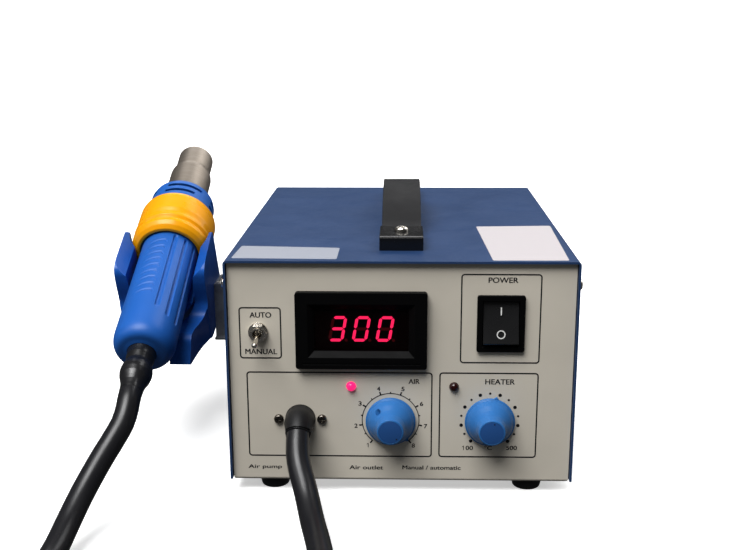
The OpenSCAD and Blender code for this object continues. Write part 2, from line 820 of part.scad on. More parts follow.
module dial_shaft(x) {
    color("#b5b5b8") stood() difference() {
        bar_y(x, panel_y - shaft_out, dial_z, shaft_out + 6, shaft_r);
        block_y(x, panel_y - shaft_out - 1, dial_z, 0.8, 6, 3 * shaft_r);
    }
}

// The knob points along +Z here, its scale mark towards +Y
module knob_shape() {
    h = knob_h - knob_gap;
    difference() {
        union() {
            cylinder(h = 1.8, r1 = skirt_r - 0.3, r2 = skirt_r);
            translate([0, 0, 1.8]) cylinder(h = 1, r1 = skirt_r, r2 = skirt_r - 0.7);
            intersection() {
                translate([0, 0, -2.2]) sphere(skirt_r - 0.2);
                cylinder(h = h, r = skirt_r);
            }
            cylinder(h = h - 0.6, r1 = grip_r + 1.5, r2 = grip_r);
            translate([0, 0, h - 0.6]) cylinder(h = 0.6, r1 = grip_r, r2 = grip_r - 0.6);
            intersection() {
                translate([0, skirt_r - 2.4, 0]) rotate(45) cube([3, 3, 1.8]);
                cylinder(h = 1.8, r = skirt_r + 1.6);
            }
        }
        translate([0, 0, -eps]) cylinder(h = knob_well_d, r = knob_well_r);
        translate([0, 0, -eps]) cylinder(h = shaft_out - knob_gap + 0.4, r = shaft_r + running);
        translate([0, grip_r - 2, h - 0.5]) cylinder(h = 1, r = 0.5);
        translate([0, 0, 7.2]) rotate([90, 0, 0]) cylinder(h = skirt_r + 2, r = 1.3);
    }
}

module dial_knob(x, turn) {
    color("#3f7fc4") stood() translate([x, knob_y, dial_z]) rotate([90, 0, 0]) {
        rotate(-turn) knob_shape();
    }
}

module air_shaft() { dial_shaft(air_x); }
module heater_shaft() { dial_shaft(heater_x); }
module air_knob() { dial_knob(air_x, air_turn); }
module heater_knob() { dial_knob(heater_x, heater_turn); }

// Lamps: domed light diodes whose collars bear on the panel's back
module lamp(x) {
    stood() {
        bar_y(x, panel_y - lamp_out + lamp_r, lamp_z, lamp_out - lamp_r + 6, lamp_r);
        translate([x, panel_y - lamp_out + lamp_r, lamp_z]) sphere(lamp_r);
        bar_y(x, panel_in, lamp_z, 1.2, lamp_r + 0.5);
        for (s = [-1, 1]) block_y(x + s * 1.27, panel_y + 5, lamp_z, 0.5, 12, 0.5);
    }
}

module air_lamp() { color("#ff4f8b") lamp(air_lamp_x); }
module heater_lamp() { color("#5a1013") lamp(heater_lamp_x); }

// Hose outlet: a rubber sleeve that bends down, with a flange screwed behind the panel
sleeve_flange_t = 3;
nipple_r = 4;
nipple_d = 12;

module outlet_sleeve() {
    color("#202022") stood() {
        bar_y(outlet_x, sleeve_y, outlet_z, sleeve_straight + tray_t + 1, sleeve_r);
        translate([outlet_x, sleeve_y, outlet_z - sleeve_bend_r]) rotate([90, 0, 90]) {
            rotate(90) rotate_extrude(angle = sleeve_turn) translate([sleeve_bend_r, 0]) circle(sleeve_r);
        }
        difference() {
            translate([outlet_x, 0, outlet_z]) along_y(panel_in, sleeve_flange_t) {
                round_rect(outlet_screws + 9, 20, 4);
            }
            for (s = [-1, 1]) {
                bar_y(outlet_x + s * outlet_screws / 2, panel_in - 1, outlet_z, 6, m3_r + running);
            }
        }
        bar_y(outlet_x, panel_in + sleeve_flange_t - eps, outlet_z, nipple_d, nipple_r);
    }
}

module outlet_screws_pair() {
    color("#2b2b2d") stood() for (s = [-1, 1]) {
        translate([outlet_x + s * outlet_screws / 2, panel_y, outlet_z]) rotate([-90, 0, 0]) {
            pan_screw(2.6, 1.9, m3_r, 8);
        }
    }
}

// Air hose: the run from the outlet, the turns that lie coiled, and the run to the handpiece
module hose_outlet_run() {
    color("#232325") stood() swept_tube(hung_from(outlet_mouth, outlet_route), hose_r, 10);
}

module hose_handpiece_run() {
    color("#232325") stood() swept_tube(hung_from(boot_mouth, handpiece_route), hose_r, 10);
}

module hose_coil() {
    inner_r = coil_r - 2 * hose_r;
    color("#232325") stood() translate([coil_x, coil_y, 0]) rotate_extrude() {
        for (r = [inner_r, coil_r]) translate([r, hose_r]) circle(hose_r);
        translate([inner_r, 0]) square([2 * hose_r, 2 * hose_r]);
    }
}

// Rear panel: the mains inlet and the fuse holder
inlet_body_w = 27;
inlet_body_h = 19.5;
inlet_body_d = 16;
inlet_flange_t = 2.4;

module mains_inlet() {
    color("#19191a") stood() {
        difference() {
            union() {
                translate([inlet_x, 0, inlet_z]) along_y(rear_y, inlet_flange_t) {
                    round_rect(inlet_pitch + 9, inlet_body_h + 3, 4);
                }
                block_y(inlet_x, rear_y - inlet_body_d, inlet_z, inlet_body_w, inlet_body_d + 0.5, inlet_body_h);
            }
            block_y(inlet_x, rear_y - inlet_body_d + 3, inlet_z, inlet_body_w - 4, inlet_body_d + 4, inlet_body_h - 4);
            for (s = [-1, 1]) bar_y(inlet_x + s * inlet_pitch / 2, rear_y - 1, inlet_z, 6, m3_hole_r);
        }
        for (p = [[0, 2.5], [-7, -1.5], [7, -1.5]]) {
            block_y(inlet_x + p[0], rear_y - inlet_body_d - 8, inlet_z + p[1], 2, inlet_body_d + 7, 4);
        }
    }
}

module fuse_holder() {
    color("#19191a") stood() {
        bar_y(fuse_x, rear_in - 22, fuse_z, 22 + tray_t, fuse_r);
        bar_y(fuse_x, rear_y, fuse_z, 3, fuse_r + 2.4);
        difference() {
            bar_y(fuse_x, rear_y + 3 - eps, fuse_z, fuse_out - 3 + eps, fuse_r + 0.6, fuse_r);
            block_y(fuse_x, rear_y + fuse_out - 1.2, fuse_z, 9, 2, 1.6);
        }
        hex_y(fuse_x, rear_in - 3, fuse_z, 3, fuse_r + 3, fuse_r - 1);
    }
}

module rear_screws() {
    color("silver") stood() for (s = [-1, 1]) {
        translate([inlet_x + s * inlet_pitch / 2, rear_y + inlet_flange_t, inlet_z]) rotate([90, 0, 0]) {
            pan_screw(m3_head_r, m3_head_h, m3_r, 9);
        }
    }
}

// Air pump: a magnet armature shaken between two electromagnets works a diaphragm at each end
pump_x = -30;
pump_y = 128;
pump_l = 112;
pump_w = 72;
pump_plate_t = 2;
mount_h = 8;
mount_r = 6;
mount_stud_r = 2;
plate_z = floor_z + mount_h;
rod_z = plate_z + pump_plate_t + 28;
rod_r = 4;
upright_t = 3;
upright_w = 52;
upright_h = 56;
magnet_l = 44;
magnet_w = 20;
magnet_h = 18;
air_gap = 1.6;
core_w = 18;
core_l = 62;
core_h = 26;
coil_over = 5;
diaphragm_r = 22;
diaphragm_t = 2;
head_r = 24;
head_d = 16;
armature_travel = 1.2;
pump_mount_points = [
    for (sx = [-1, 1], sy = [-1, 1]) [pump_x + sx * (pump_w / 2 - 8), pump_y + sy * (pump_l / 2 - 9)]
];

module pump_mounts() {
    color("#1b1b1c") stood() for (p = pump_mount_points) translate([p[0], p[1], 0]) {
        translate([0, 0, floor_z]) cylinder(h = mount_h, r = mount_r);
        translate([0, 0, tray_z - 1.5]) cylinder(h = mount_h, r = mount_stud_r);
        translate([0, 0, tray_z - 1.5]) cylinder(h = 1.5, r1 = mount_stud_r, r2 = mount_stud_r + 1);
    }
}

module pump_upright(y) {
    difference() {
        translate([pump_x - upright_w / 2, y, plate_z + pump_plate_t - eps]) cube([upright_w, upright_t, upright_h]);
        bar_y(pump_x, y - 1, rod_z, upright_t + 2, rod_r + 3);
    }
}

module pump_frame() {
    color("#9b9da0") stood() {
        translate([pump_x - pump_w / 2, pump_y - pump_l / 2, plate_z]) cube([pump_w, pump_l, pump_plate_t]);
        pump_upright(pump_y - pump_l / 2 + 2);
        pump_upright(pump_y + pump_l / 2 - 2 - upright_t);
        for (s = [-1, 1], y = [-core_l / 2, core_l / 2 - 10]) {
            translate([pump_x + s * core_x - core_w / 2, pump_y + y, plate_z + pump_plate_t - eps]) {
                cube([core_w, 10, core_low - plate_z - pump_plate_t + eps]);
            }
        }
    }
}
core_x = magnet_w / 2 + air_gap + core_w / 2;
core_low = rod_z - core_h / 2;

// Each core is an E of steel sheets, its three legs facing the armature
module pump_core() {
    leg = core_w - 6;
    color("#6e6258") stood() for (s = [-1, 1]) translate([pump_x + s * core_x, pump_y, core_low]) {
        translate([s > 0 ? core_w / 2 - 6 : -core_w / 2, -core_l / 2, 0]) cube([6, core_l, core_h]);
        for (y = [-core_l / 2, -6, core_l / 2 - 10]) {
            translate([s > 0 ? -core_w / 2 : core_w / 2 - leg, y, 0]) cube([leg, y == -6 ? 12 : 10, core_h]);
        }
    }
}

module pump_coils() {
    color("#b5713a") stood() for (s = [-1, 1]) translate([pump_x + s * (core_x - 3), pump_y, rod_z]) {
        difference() {
            cube([core_w - 8, 12 + 2 * coil_over, core_h + 2 * coil_over], center = true);
            cube([core_w, 12.4, core_h + 0.4], center = true);
        }
    }
}

module pump_armature() {
    rod_l = pump_l + 14;
    color("#c4c6c9") stood() {
        bar_y(pump_x, pump_y - rod_l / 2, rod_z, rod_l, rod_r);
        block_y(pump_x, pump_y - magnet_l / 2, rod_z, magnet_w, magnet_l, magnet_h);
    }
}

diaphragm_ys = [pump_y - pump_l / 2 + 2 - diaphragm_t, pump_y + pump_l / 2 - 2];

module pump_diaphragms() {
    color("#2a2a2c") stood() for (y = diaphragm_ys) difference() {
        bar_y(pump_x, y, rod_z, diaphragm_t, diaphragm_r);
        bar_y(pump_x, y - 1, rod_z, diaphragm_t + 2, rod_r + running);
    }
}

module pump_head(y, d) {
    difference() {
        bar_y(pump_x, d > 0 ? y : y + d, rod_z, abs(d), head_r);
        bar_y(pump_x, d > 0 ? y - 1 : y + d + 3, rod_z, abs(d) - 2, diaphragm_r - 5);
    }
}

module pump_heads() {
    color("#d7d3c8") stood() {
        pump_head(diaphragm_ys[0], -head_d);
        pump_head(diaphragm_ys[1] + diaphragm_t, head_d);
        bar_y(pump_x, front_head_y - 9, rod_z + 12, 9.5, nipple_r);
    }
}
front_head_y = diaphragm_ys[0] - head_d;

module pump_tube() {
    start = panel_in + sleeve_flange_t + nipple_d + touch;
    color("#c9c9c4") stood() swept_tube([
        [outlet_x, start, outlet_z], [outlet_x, start + 6, outlet_z],
        [outlet_x + 5, start + 13, outlet_z + 3], [outlet_x + 15, start + 17, outlet_z + 7],
        [pump_x - 3, front_head_y - 17, rod_z + 11], [pump_x, front_head_y - 12, rod_z + 12],
        [pump_x, front_head_y - 9, rod_z + 12]
    ], nipple_r + 1, 10);
}

// Transformer and control board
trafo_side = 12;
trafo_w = 48;
trafo_x = side_x - trafo_side - trafo_w / 2;
trafo_y = 178;
trafo_d = 42;
trafo_h = 40;

module transformer_core() {
    color("#6b6f74") stood() difference() {
        translate([trafo_x - trafo_w / 2, trafo_y - trafo_d / 4, floor_z]) cube([trafo_w, trafo_d / 2, trafo_h]);
        for (s = [-1, 1]) translate([trafo_x + s * trafo_w / 4 - 6, trafo_y - trafo_d, floor_z + 8]) {
            cube([12, 2 * trafo_d, trafo_h - 16]);
        }
    }
}

module transformer_coil() {
    color("#c9a24a") stood() difference() {
        translate([trafo_x - trafo_w / 4 - 5.8, trafo_y - trafo_d / 2, floor_z + 8.2]) {
            cube([trafo_w / 2 + 11.6, trafo_d, trafo_h - 16.4]);
        }
        translate([trafo_x - trafo_w / 4 + 5.9, trafo_y - trafo_d / 4 - 0.1, floor_z]) {
            cube([trafo_w / 2 - 11.8, trafo_d / 2 + 0.2, trafo_h]);
        }
    }
}

board_side = 8;
board_w = 64;
board_x = side_x - board_side - board_w;
board_y = 42;
board_d = 96;
board_t = 1.6;
can_r = 5;
can_h = 14;
post_h = 8;
board_z = floor_z + post_h;
post_points = [
    for (sx = [0, 1], sy = [0, 1]) [board_x + 5 + sx * (board_w - 10), board_y + 5 + sy * (board_d - 10)]
];

module board_posts() {
    color("#c2a25a") stood() for (p = post_points) translate([p[0], p[1], 0]) {
        translate([0, 0, floor_z]) cylinder(h = post_h, r = 3);
        translate([0, 0, tray_z - 1]) cylinder(h = post_h + board_t + 3, r = m3_r);
    }
}

module control_board() {
    top = board_z + board_t;
    color("#2c6b3f") stood() difference() {
        union() {
            translate([board_x, board_y, board_z]) cube([board_w, board_d, board_t]);
            for (i = [0:3]) translate([board_x + can_r * (2 + 2.8 * i), board_y + can_r * 2.8, top]) {
                cylinder(h = can_h, r = can_r);
            }
            translate([board_x + board_w * 0.22, board_y + board_d * 0.31, top]) cube([18, 8, 4]);
            translate([board_x + board_w * 0.59, board_y + board_d * 0.29, top]) cube([16, 14, 12]);
            translate([board_x + board_w * 0.16, board_y + board_d * 0.83, top]) cube([board_w * 0.56, 9, 10]);
        }
        for (p = post_points) translate([p[0], p[1], board_z - 1]) cylinder(h = 10, r = m3_hole_r);
    }
}

sink_w = 44;
sink_h = 26;
fin_d = 20;
fin_t = 1.6;
fin_n = 8;

module heat_sink() {
    color("#aeb2b6") stood() translate([board_x + 10, board_y + board_d / 2, board_z + board_t]) {
        cube([sink_w, 3, sink_h]);
        for (i = [0:fin_n - 1]) translate([i * (sink_w - fin_t) / (fin_n - 1), 0, 0]) cube([fin_t, fin_d, sink_h]);
    }
}

// Bracket: a bent steel channel between the case's side and the cradle's outer wall
bracket_out = hand_x + cradle_half;
case_bolt_ys = [bracket_y + 9, bracket_y + 20];
bolt_z = bracket_low + 19;
cradle_bolts = [[bracket_y + 8, bracket_low + 19], [bracket_y + 15, bracket_low + 31]];

module bracket() {
    web_w = -side_x - bracket_out;
    h = bracket_top - bracket_low;
    color("#8b8d90") stood() difference() {
        union() {
            translate([bracket_out, bracket_y - bracket_t, bracket_low]) cube([web_w, bracket_t, h]);
            translate([bracket_out, bracket_y - bracket_t - bracket_lip, bracket_low]) {
                cube([web_w, bracket_lip + bracket_t, bracket_t]);
            }
            translate([bracket_out, bracket_y - bracket_t, bracket_low]) cube([bracket_t, bracket_leg, h]);
            translate([-side_x - bracket_t, bracket_y - bracket_t, bracket_low]) {
                cube([bracket_t, bracket_leg, h]);
            }
        }
        for (y = case_bolt_ys) bar_x(-side_x - 3, y, bolt_z, 6, m4_hole_r);
        for (b = cradle_bolts) bar_x(bracket_out - 2, b[0], b[1], 6, m4_hole_r);
    }
}

module bolt_nut(x, p, w) {
    translate([x, p[0], p[1]]) rotate([0, 90, 0]) cylinder(h = w, r = m4_nut_r, $fn = 6);
}

module bracket_screws() {
    color("silver") stood() {
        for (y = case_bolt_ys) {
            translate([-side_x - bracket_t, y, bolt_z]) rotate([0, 90, 0]) {
                pan_screw(m4_head_r, m4_head_h, m4_r, bracket_t + cover_t + 6);
            }
            bolt_nut(-side_x + cover_t, [y, bolt_z], m4_nut_h);
        }
        for (b = cradle_bolts) {
            translate([bracket_out + bracket_t, b[0], b[1]]) rotate([0, -90, 0]) {
                pan_screw(m4_head_r, m4_head_h, m4_r, bracket_t + cradle_wall + 5);
            }
            bolt_nut(bracket_out - cradle_wall - m4_nut_h, b, m4_nut_h);
        }
    }
}

// Cradle: two walls that draw in towards the hose end, the trough between them, ribs and a
// magnet cup. Along the axis s grows towards the nozzle, and n is the height above the axis.
cradle_low = barrel_end + 23.6;
trough_low = cradle_low + 2;
trough_top = -37.5;
ring_room = 0.7;
magnet_s = barrel_end + 32.6;
magnet_r = 4;
magnet_t = 3;

// Below the scoop the cradle is as long as the barrel makes it: s at a share of the way down
scoop_s = -62;
function down(share) = scoop_s + share * (cradle_low - scoop_s);

// The walls' front rim and back edge, as points [-n, s] on a smooth line, and their half width
rim_points = [
    [-9.5, -25.4], [-12.6, -27.6], [-13.4, -34], [-13.4, -48], [-12.4, -58], [-9.5, down(0.02)],
    [-4, down(0.055)], [2, down(0.065)], [8, down(0.065)], [13, down(0.08)], [17.2, down(0.15)],
    [18.6, down(0.25)], [17.6, down(0.4)], [14.6, down(0.58)], [13.4, down(0.7)], [15.2, down(0.8)],
    [20, down(0.88)], [24, down(0.97)]
];
back_points = [
    [29, down(0.87)], [35, down(0.5)], [39.6, down(0.16)], [42.4, -55], [43, -44], [41.8, -31], [38.6, -24.6],
    [32, -22.6], [20, -23.4], [4, -24.6]
];
half_widths = [
    [cradle_half, -20], [cradle_half, scoop_s], [cradle_half - 1.4, down(0.15)], [cradle_half - 3.8, down(0.37)],
    [cradle_half - 5.3, down(0.65)], [cradle_half - 6.1, down(1.05)]
];

// A smooth line through points, n steps between neighbours
function spline_at(a, b, c, d, t) = 0.5 * (
    2 * b + (c - a) * t + (2 * a - 5 * b + 4 * c - d) * pow(t, 2) + (3 * b - a - 3 * c + d) * pow(t, 3)
);
function smooth_line(p, n) = [
    for (i = [0:len(p) - 2], k = [0:n - 1]) spline_at(
        p[max(i - 1, 0)], p[i], p[i + 1], p[min(i + 2, len(p) - 1)], k / n
    ),
    p[len(p) - 1]
];

module cradle_side() {
    polygon(smooth_line(concat(rim_points, [[26, cradle_low]], back_points), 4));
}

module cradle_plan() {
    line = [for (p = smooth_line(half_widths, 4)) [min(p[0], cradle_half), p[1]]];
    polygon(concat(line, [for (i = [len(line) - 1:-1:0]) [-line[i][0], line[i][1]]]));
}

// The walls thicken towards the hose end until they meet the trough
module cradle_inside() {
    polygon([
        [cradle_in, -20], [cradle_in, down(0.03)], [cradle_in - 4, down(0.16)], [cradle_in - 8, down(0.33)],
        [cradle_in - 11.5, down(0.6)], [cradle_in - 11.5, down(1.05)], [-cradle_in + 11.5, down(1.05)],
        [-cradle_in + 11.5, down(0.6)], [-cradle_in + 8, down(0.33)], [-cradle_in + 4, down(0.16)],
        [-cradle_in, down(0.03)], [-cradle_in, -20]
    ]);
}

// Extrudes a plan given in x and s across the whole height n
module across_n() {
    translate([0, 60, 0]) rotate([90, 0, 0]) linear_extrude(100) children();
}

module ring_outline(grow) {
    polygon([
        [0, -ring_l - grow], [20.2 + grow, -ring_l - grow], [22.7 + grow, -ring_l + 2.8], [23.9 + grow, -ring_l + 6.5],
        [ring_r + grow, -ring_l + 12], [ring_r + grow, 0], [0, 0]
    ]);
}

module cradle_trough() {
    difference() {
        translate([0, 0, trough_low]) cylinder(h = trough_top - trough_low, r = trough_r + trough_t);
        translate([-2 * ring_r, -2 * ring_r, trough_low - 1]) cube([4 * ring_r, 2 * ring_r + 12, barrel_l]);
    }
}

module cradle() {
    color("#1f4f9e") stood() difference() {
        on_hand_axis() difference() {
            union() {
                intersection() {
                    along_x(-cradle_half - 1, 2 * cradle_half + 2) cradle_side();
                    across_n() difference() {
                        cradle_plan();
                        cradle_inside();
                    }
                }
                cradle_trough();
                for (s = [-44, -60, down(0.33)]) translate([-cradle_in + 1, trough_r + 1, s]) {
                    cube([2 * cradle_in - 2, 12, 3]);
                }
                translate([0, trough_r + 1, magnet_s]) rotate([-90, 0, 0]) {
                    cylinder(h = magnet_t + 2.6, r = magnet_r + 1.8);
                }
            }
            translate([0, 0, cradle_low - 5]) cylinder(h = barrel_l, r = trough_r);
            translate([-2 * cradle_half - 8, -60, cradle_low - 1]) cube([2 * cradle_half, 120, 8]);
            translate([-trough_r, -2 * ring_r, cradle_low - 5]) cube([2 * trough_r, 2 * ring_r, barrel_l]);
            rotate_extrude() ring_outline(ring_room);
            translate([0, -40, 0]) rotate([-90, 0, 0]) linear_extrude(40) {
                mirror([0, 1]) ring_outline(ring_room);
                mirror([0, 1]) mirror([1, 0]) ring_outline(ring_room);
            }
            translate([0, 0, -66]) linear_extrude(50) for (m = [0, 1]) mirror([m, 0]) polygon([
                [cradle_half + 1, -14], [cradle_in - 2, -5.2], [0, -5.2], [0, -30], [cradle_half + 1, -30]
            ]);
            translate([0, trough_r + trough_t, magnet_s]) rotate([-90, 0, 0]) {
                cylinder(h = magnet_t + 3, r = magnet_r + 0.1);
            }
        }
        for (b = cradle_bolts) bar_x(bracket_out - cradle_wall - 2, b[0], b[1], cradle_wall + 4, m4_hole_r);
    }
}

module cradle_magnet() {
    color("#a9abad") stood() on_hand_axis() translate([0, trough_r + trough_t, magnet_s]) {
        rotate([-90, 0, 0]) cylinder(h = magnet_t, r = magnet_r);
    }
}

// Handpiece: a hollow barrel with a domed end, cut by grip grooves
seat_r = 18.7;
seat_low = -ring_l + 4;
seat_top = -6.2;
dome_z = barrel_end + barrel_r;
boot_r = 8.2;
groove_low = -103;
groove_top = -39;

module barrel() {
    color("#2a69c9") stood() on_hand_axis() difference() {
        union() {
            translate([0, 0, dome_z]) sphere(barrel_r, $fn = 96);
            translate([0, 0, dome_z]) cylinder(h = seat_low - 2 - dome_z, r1 = barrel_r, r2 = barrel_top_r);
            translate([0, 0, seat_low - 2]) cylinder(h = 2, r1 = barrel_top_r, r2 = seat_r);
            translate([0, 0, seat_low]) cylinder(h = seat_top - seat_low, r = seat_r);
        }
        translate([0, 0, dome_z]) sphere(barrel_r - barrel_wall, $fn = 96);
        translate([0, 0, dome_z]) cylinder(h = barrel_l, r = barrel_top_r - barrel_wall);
        translate([0, 0, barrel_end - 1]) cylinder(h = 8, r = boot_r + 0.1);
        for (i = [0:groove_n - 1]) rotate(22 + 24 * i) {
            translate([-groove_w / 2, -barrel_r - 2, groove_low]) cube([groove_w, 3, groove_top - groove_low]);
        }
    }
}

module grip_ring() {
    color("#f2a512") stood() on_hand_axis() rotate_extrude() polygon([
        [barrel_r + 0.5, -ring_l], [20.2, -ring_l], [22.7, -ring_l + 2.8], [23.7, -ring_l + 6],
        [23.8, -ring_l + 8.5], [23.1, -ring_l + 9.8], [23.9, -ring_l + 11.2], [ring_r, -ring_l + 13.6],
        [ring_r - 0.1, -ring_l + 16], [ring_r - 0.7, -ring_l + 18], [ring_r - 0.1, -2], [ring_r - 0.6, -0.6],
        [ring_r - 1.4, 0], [collar_r + 0.3, 0], [collar_r + 0.3, seat_low + 0.6], [seat_r + 0.4, seat_low - 0.4],
        [barrel_r + 0.5, -ring_l + 2.4]
    ]);
}

// Collar: wraps the barrel's seat, holds the tube on a shelf, and has slots all round
shelf_t = 2;
slot_rows = [[7, 54, 6], [12.6, 64, 14]];
slot_h = 2.4;

module vent_collar() {
    in_r = collar_r - 2.1;
    color("#2a69c9") stood() on_hand_axis() difference() {
        rotate_extrude() polygon([
            [in_r, seat_low + 1.6], [collar_r, seat_low + 1.6], [collar_r, 1], [collar_r - 0.4, collar_l - 4],
            [collar_r - 1.1, collar_l - 1.4], [collar_r - 2.6, collar_l], [tube_r + 0.3, collar_l],
            [tube_r + 0.3, collar_l - 2], [in_r - 1, collar_l - 2], [in_r, collar_l - 3.2], [in_r, shelf_t],
            [tube_r + 0.3, shelf_t], [tube_r + 0.3, 0], [in_r, 0]
        ]);
        for (a = [0:90:270], row = slot_rows) rotate(a + row[2] - row[1] / 2) translate([0, 0, row[0] - slot_h / 2]) {
            rotate_extrude(angle = row[1]) translate([in_r - 1.5, 0]) square([6, slot_h]);
        }
    }
}

// Steel tube: flanged at its foot, necked down to the mouth
neck_low = tube_l - 22;
neck_top = neck_low + 4;
shield_l = neck_low - 2;
hot_core_l = neck_low - 4;
core_r = tube_r - tube_wall - 2.4;
core_bore_r = 2.1;

module heater_tube() {
    color("#a39a8f") stood() on_hand_axis() rotate_extrude() polygon([
        [tube_r - tube_wall, -1], [seat_r - 1.5, -1], [seat_r - 1.5, 0], [tube_r, 0], [tube_r, neck_low],
        [tube_r - 0.5, neck_low + 1.6], [mouth_r, neck_top], [mouth_r, tube_l],
        [mouth_r - tube_wall, tube_l], [mouth_r - tube_wall, neck_top - 0.4],
        [tube_r - tube_wall - 0.5, neck_low + 1.2], [tube_r - tube_wall, neck_low - 0.4]
    ]);
}

module heat_shield() {
    color("#c8b58a") stood() on_hand_axis() translate([0, 0, -1]) difference() {
        cylinder(h = shield_l, r = tube_r - tube_wall - 0.2);
        translate([0, 0, -eps]) cylinder(h = shield_l + 2, r = tube_r - tube_wall - 0.8);
    }
}

module heater_core() {
    color("#e3ddd0") stood() on_hand_axis() difference() {
        union() {
            translate([0, 0, -6]) cylinder(h = 5, r = seat_r - 1.5);
            translate([0, 0, -1.1]) cylinder(h = hot_core_l, r = core_r);
        }
        for (i = [0:6]) rotate(i * 360 / 6) translate([i == 6 ? 0 : core_r * 0.61, 0, -10]) {
            cylinder(h = tube_l, r = core_bore_r);
        }
    }
}

module reed_board() {
    low = barrel_top_r - barrel_wall - 0.9;
    color("#2c6b3f") stood() on_hand_axis() {
        translate([-4, low - 1.2, magnet_s - 14]) cube([8, 1.2, 30]);
        translate([0, low - 2.3, magnet_s - 7]) cylinder(h = 14, r = 1.15);
    }
}

// Boot: held inside the barrel's end by its collar, with a bulb before the hose
bulb_r = 8.8;
bulb_z = barrel_end - 10;

module hose_boot() {
    flange_z = dome_z - sqrt(pow(barrel_r - barrel_wall - 0.2, 2) - 100);
    color("#1f1f21") stood() on_hand_axis() {
        translate([0, 0, flange_z]) cylinder(h = 2.5, r = 10);
        translate([0, 0, bulb_z]) cylinder(h = flange_z - bulb_z + 1, r = boot_r);
        translate([0, 0, bulb_z]) sphere(bulb_r);
        translate([0, 0, boot_end]) cylinder(h = boot_l - 11, r1 = hose_r + 0.35, r2 = hose_r + 0.9);
    }
}

cover();
tray();
cover_screws();
feet();
foot_screws();
carry_strap();
strap_caps();
strap_screws();
display_bezel();
display_window();
display_module();
power_switch_body();
power_rocker();
toggle_body();
toggle_nut();
toggle_lever();
dial_controls();
dial_nuts();
air_shaft();
air_knob();
heater_shaft();
heater_knob();
air_lamp();
heater_lamp();
outlet_sleeve();
outlet_screws_pair();
hose_outlet_run();
hose_coil();
hose_handpiece_run();
mains_inlet();
fuse_holder();
rear_screws();
pump_mounts();
pump_frame();
pump_core();
pump_coils();
pump_armature();
pump_diaphragms();
pump_heads();
pump_tube();
transformer_core();
transformer_coil();
control_board();
board_posts();
heat_sink();
bracket();
bracket_screws();
cradle();
cradle_magnet();
barrel();
grip_ring();
vent_collar();
heater_tube();
heat_shield();
heater_core();
reed_board();
hose_boot();
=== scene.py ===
"""Looks of a hot air rework station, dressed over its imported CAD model.

Every sub-assembly is a class that holds its sizes in millimetres. Unless a class says otherwise they are in
the case's own frame: x from the middle of the case, y from the front edge of the cover towards the back, z
from the bench. The finished meshes are in metres in the row frame.
"""

import logging
import math
from dataclasses import dataclass, replace
from enum import Enum
from typing import Iterable, List, Optional, Sequence, Tuple, Union

import bmesh
import bpy
from mathutils import Matrix, Vector


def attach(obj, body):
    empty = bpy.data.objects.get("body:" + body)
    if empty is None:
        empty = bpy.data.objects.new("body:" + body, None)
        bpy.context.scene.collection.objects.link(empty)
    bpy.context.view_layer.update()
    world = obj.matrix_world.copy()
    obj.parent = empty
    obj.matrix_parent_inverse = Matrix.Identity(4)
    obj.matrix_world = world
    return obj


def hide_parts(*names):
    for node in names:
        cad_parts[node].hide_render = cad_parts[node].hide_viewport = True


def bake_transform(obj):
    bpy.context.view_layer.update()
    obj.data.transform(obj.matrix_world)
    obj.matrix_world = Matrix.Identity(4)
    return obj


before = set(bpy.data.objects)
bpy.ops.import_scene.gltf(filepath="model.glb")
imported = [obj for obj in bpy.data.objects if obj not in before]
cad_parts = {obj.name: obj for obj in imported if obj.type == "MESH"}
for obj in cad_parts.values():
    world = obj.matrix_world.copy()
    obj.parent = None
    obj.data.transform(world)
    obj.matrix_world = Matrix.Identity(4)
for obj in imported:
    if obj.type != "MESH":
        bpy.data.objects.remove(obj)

log = logging.getLogger("rework_station")
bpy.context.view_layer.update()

Point = Tuple[float, float, float]
Flat = Tuple[float, float]
Colour = Tuple[float, float, float, float]
Shape = bmesh.types.BMesh
Socket = bpy.types.NodeSocket
Paint = Union[Colour, Socket]

MM = 0.001
FULL_TURN = 360.0
# Points that count as one, in millimetres, and in the CAD's metres with the angle that counts as flat
WELD = 1e-4
CAD_WELD = 2e-6
CAD_FLAT = math.radians(0.8)
# The same for letters, in the size that Blender gives them
LETTER_WELD = 1e-5
# Ink lies just clear of the panel, so that neither flickers through the other
INK_LIFT = 0.02
INK_DEPTH = 0.05

# The row frame's origin, and the frames that pieces are built in, all in case millimetres
ROW_ORIGIN = Vector((-37.8, 114.2418, 0.0))
HAND_ORIGIN = Vector((-144.5, 130.0, 127.4))
HAND_TILT = 25.5
HAND_TURN = math.radians(HAND_TILT - 90.0)
PANEL_Y = 2.5
TOP_Z = 132.5
CASE = Matrix.Scale(MM, 4) @ Matrix.Translation(-ROW_ORIGIN)
FRONT = CASE @ Matrix.Translation((0.0, PANEL_Y, 0.0)) @ Matrix.Rotation(math.radians(90.0), 4, "X")
HAND = CASE @ Matrix.Translation(HAND_ORIGIN) @ Matrix.Rotation(HAND_TURN, 4, "X")
ROW = Matrix.Identity(4)


class Body(Enum):
    """The bodies of the CAD model that a new piece can ride on."""

    STATION = "station"
    ROCKER = "power_rocker"
    AIR = "air_dial"
    HEATER = "heater_dial"
    HANDPIECE = "handpiece"


class Cut(Enum):
    """What a carving tool does to the shape it meets."""

    AWAY = "DIFFERENCE"
    JOIN = "UNION"


def held(value: float) -> float:
    """Holds a value between 0 and 1."""
    return min(max(value, 0.0), 1.0)


def soft_step(value: float) -> float:
    """Holds a value between 0 and 1 and softens both ends of its climb."""
    t = held(value)
    return t * t * (3.0 - 2.0 * t)


# Colours and nodes

# The sRGB curve: where its straight foot ends, the foot's slope, and the offset and the power above it
FOOT_END, FOOT_SLOPE, CURVE_OFFSET, CURVE_POWER = 0.04045, 12.92, 0.055, 2.4


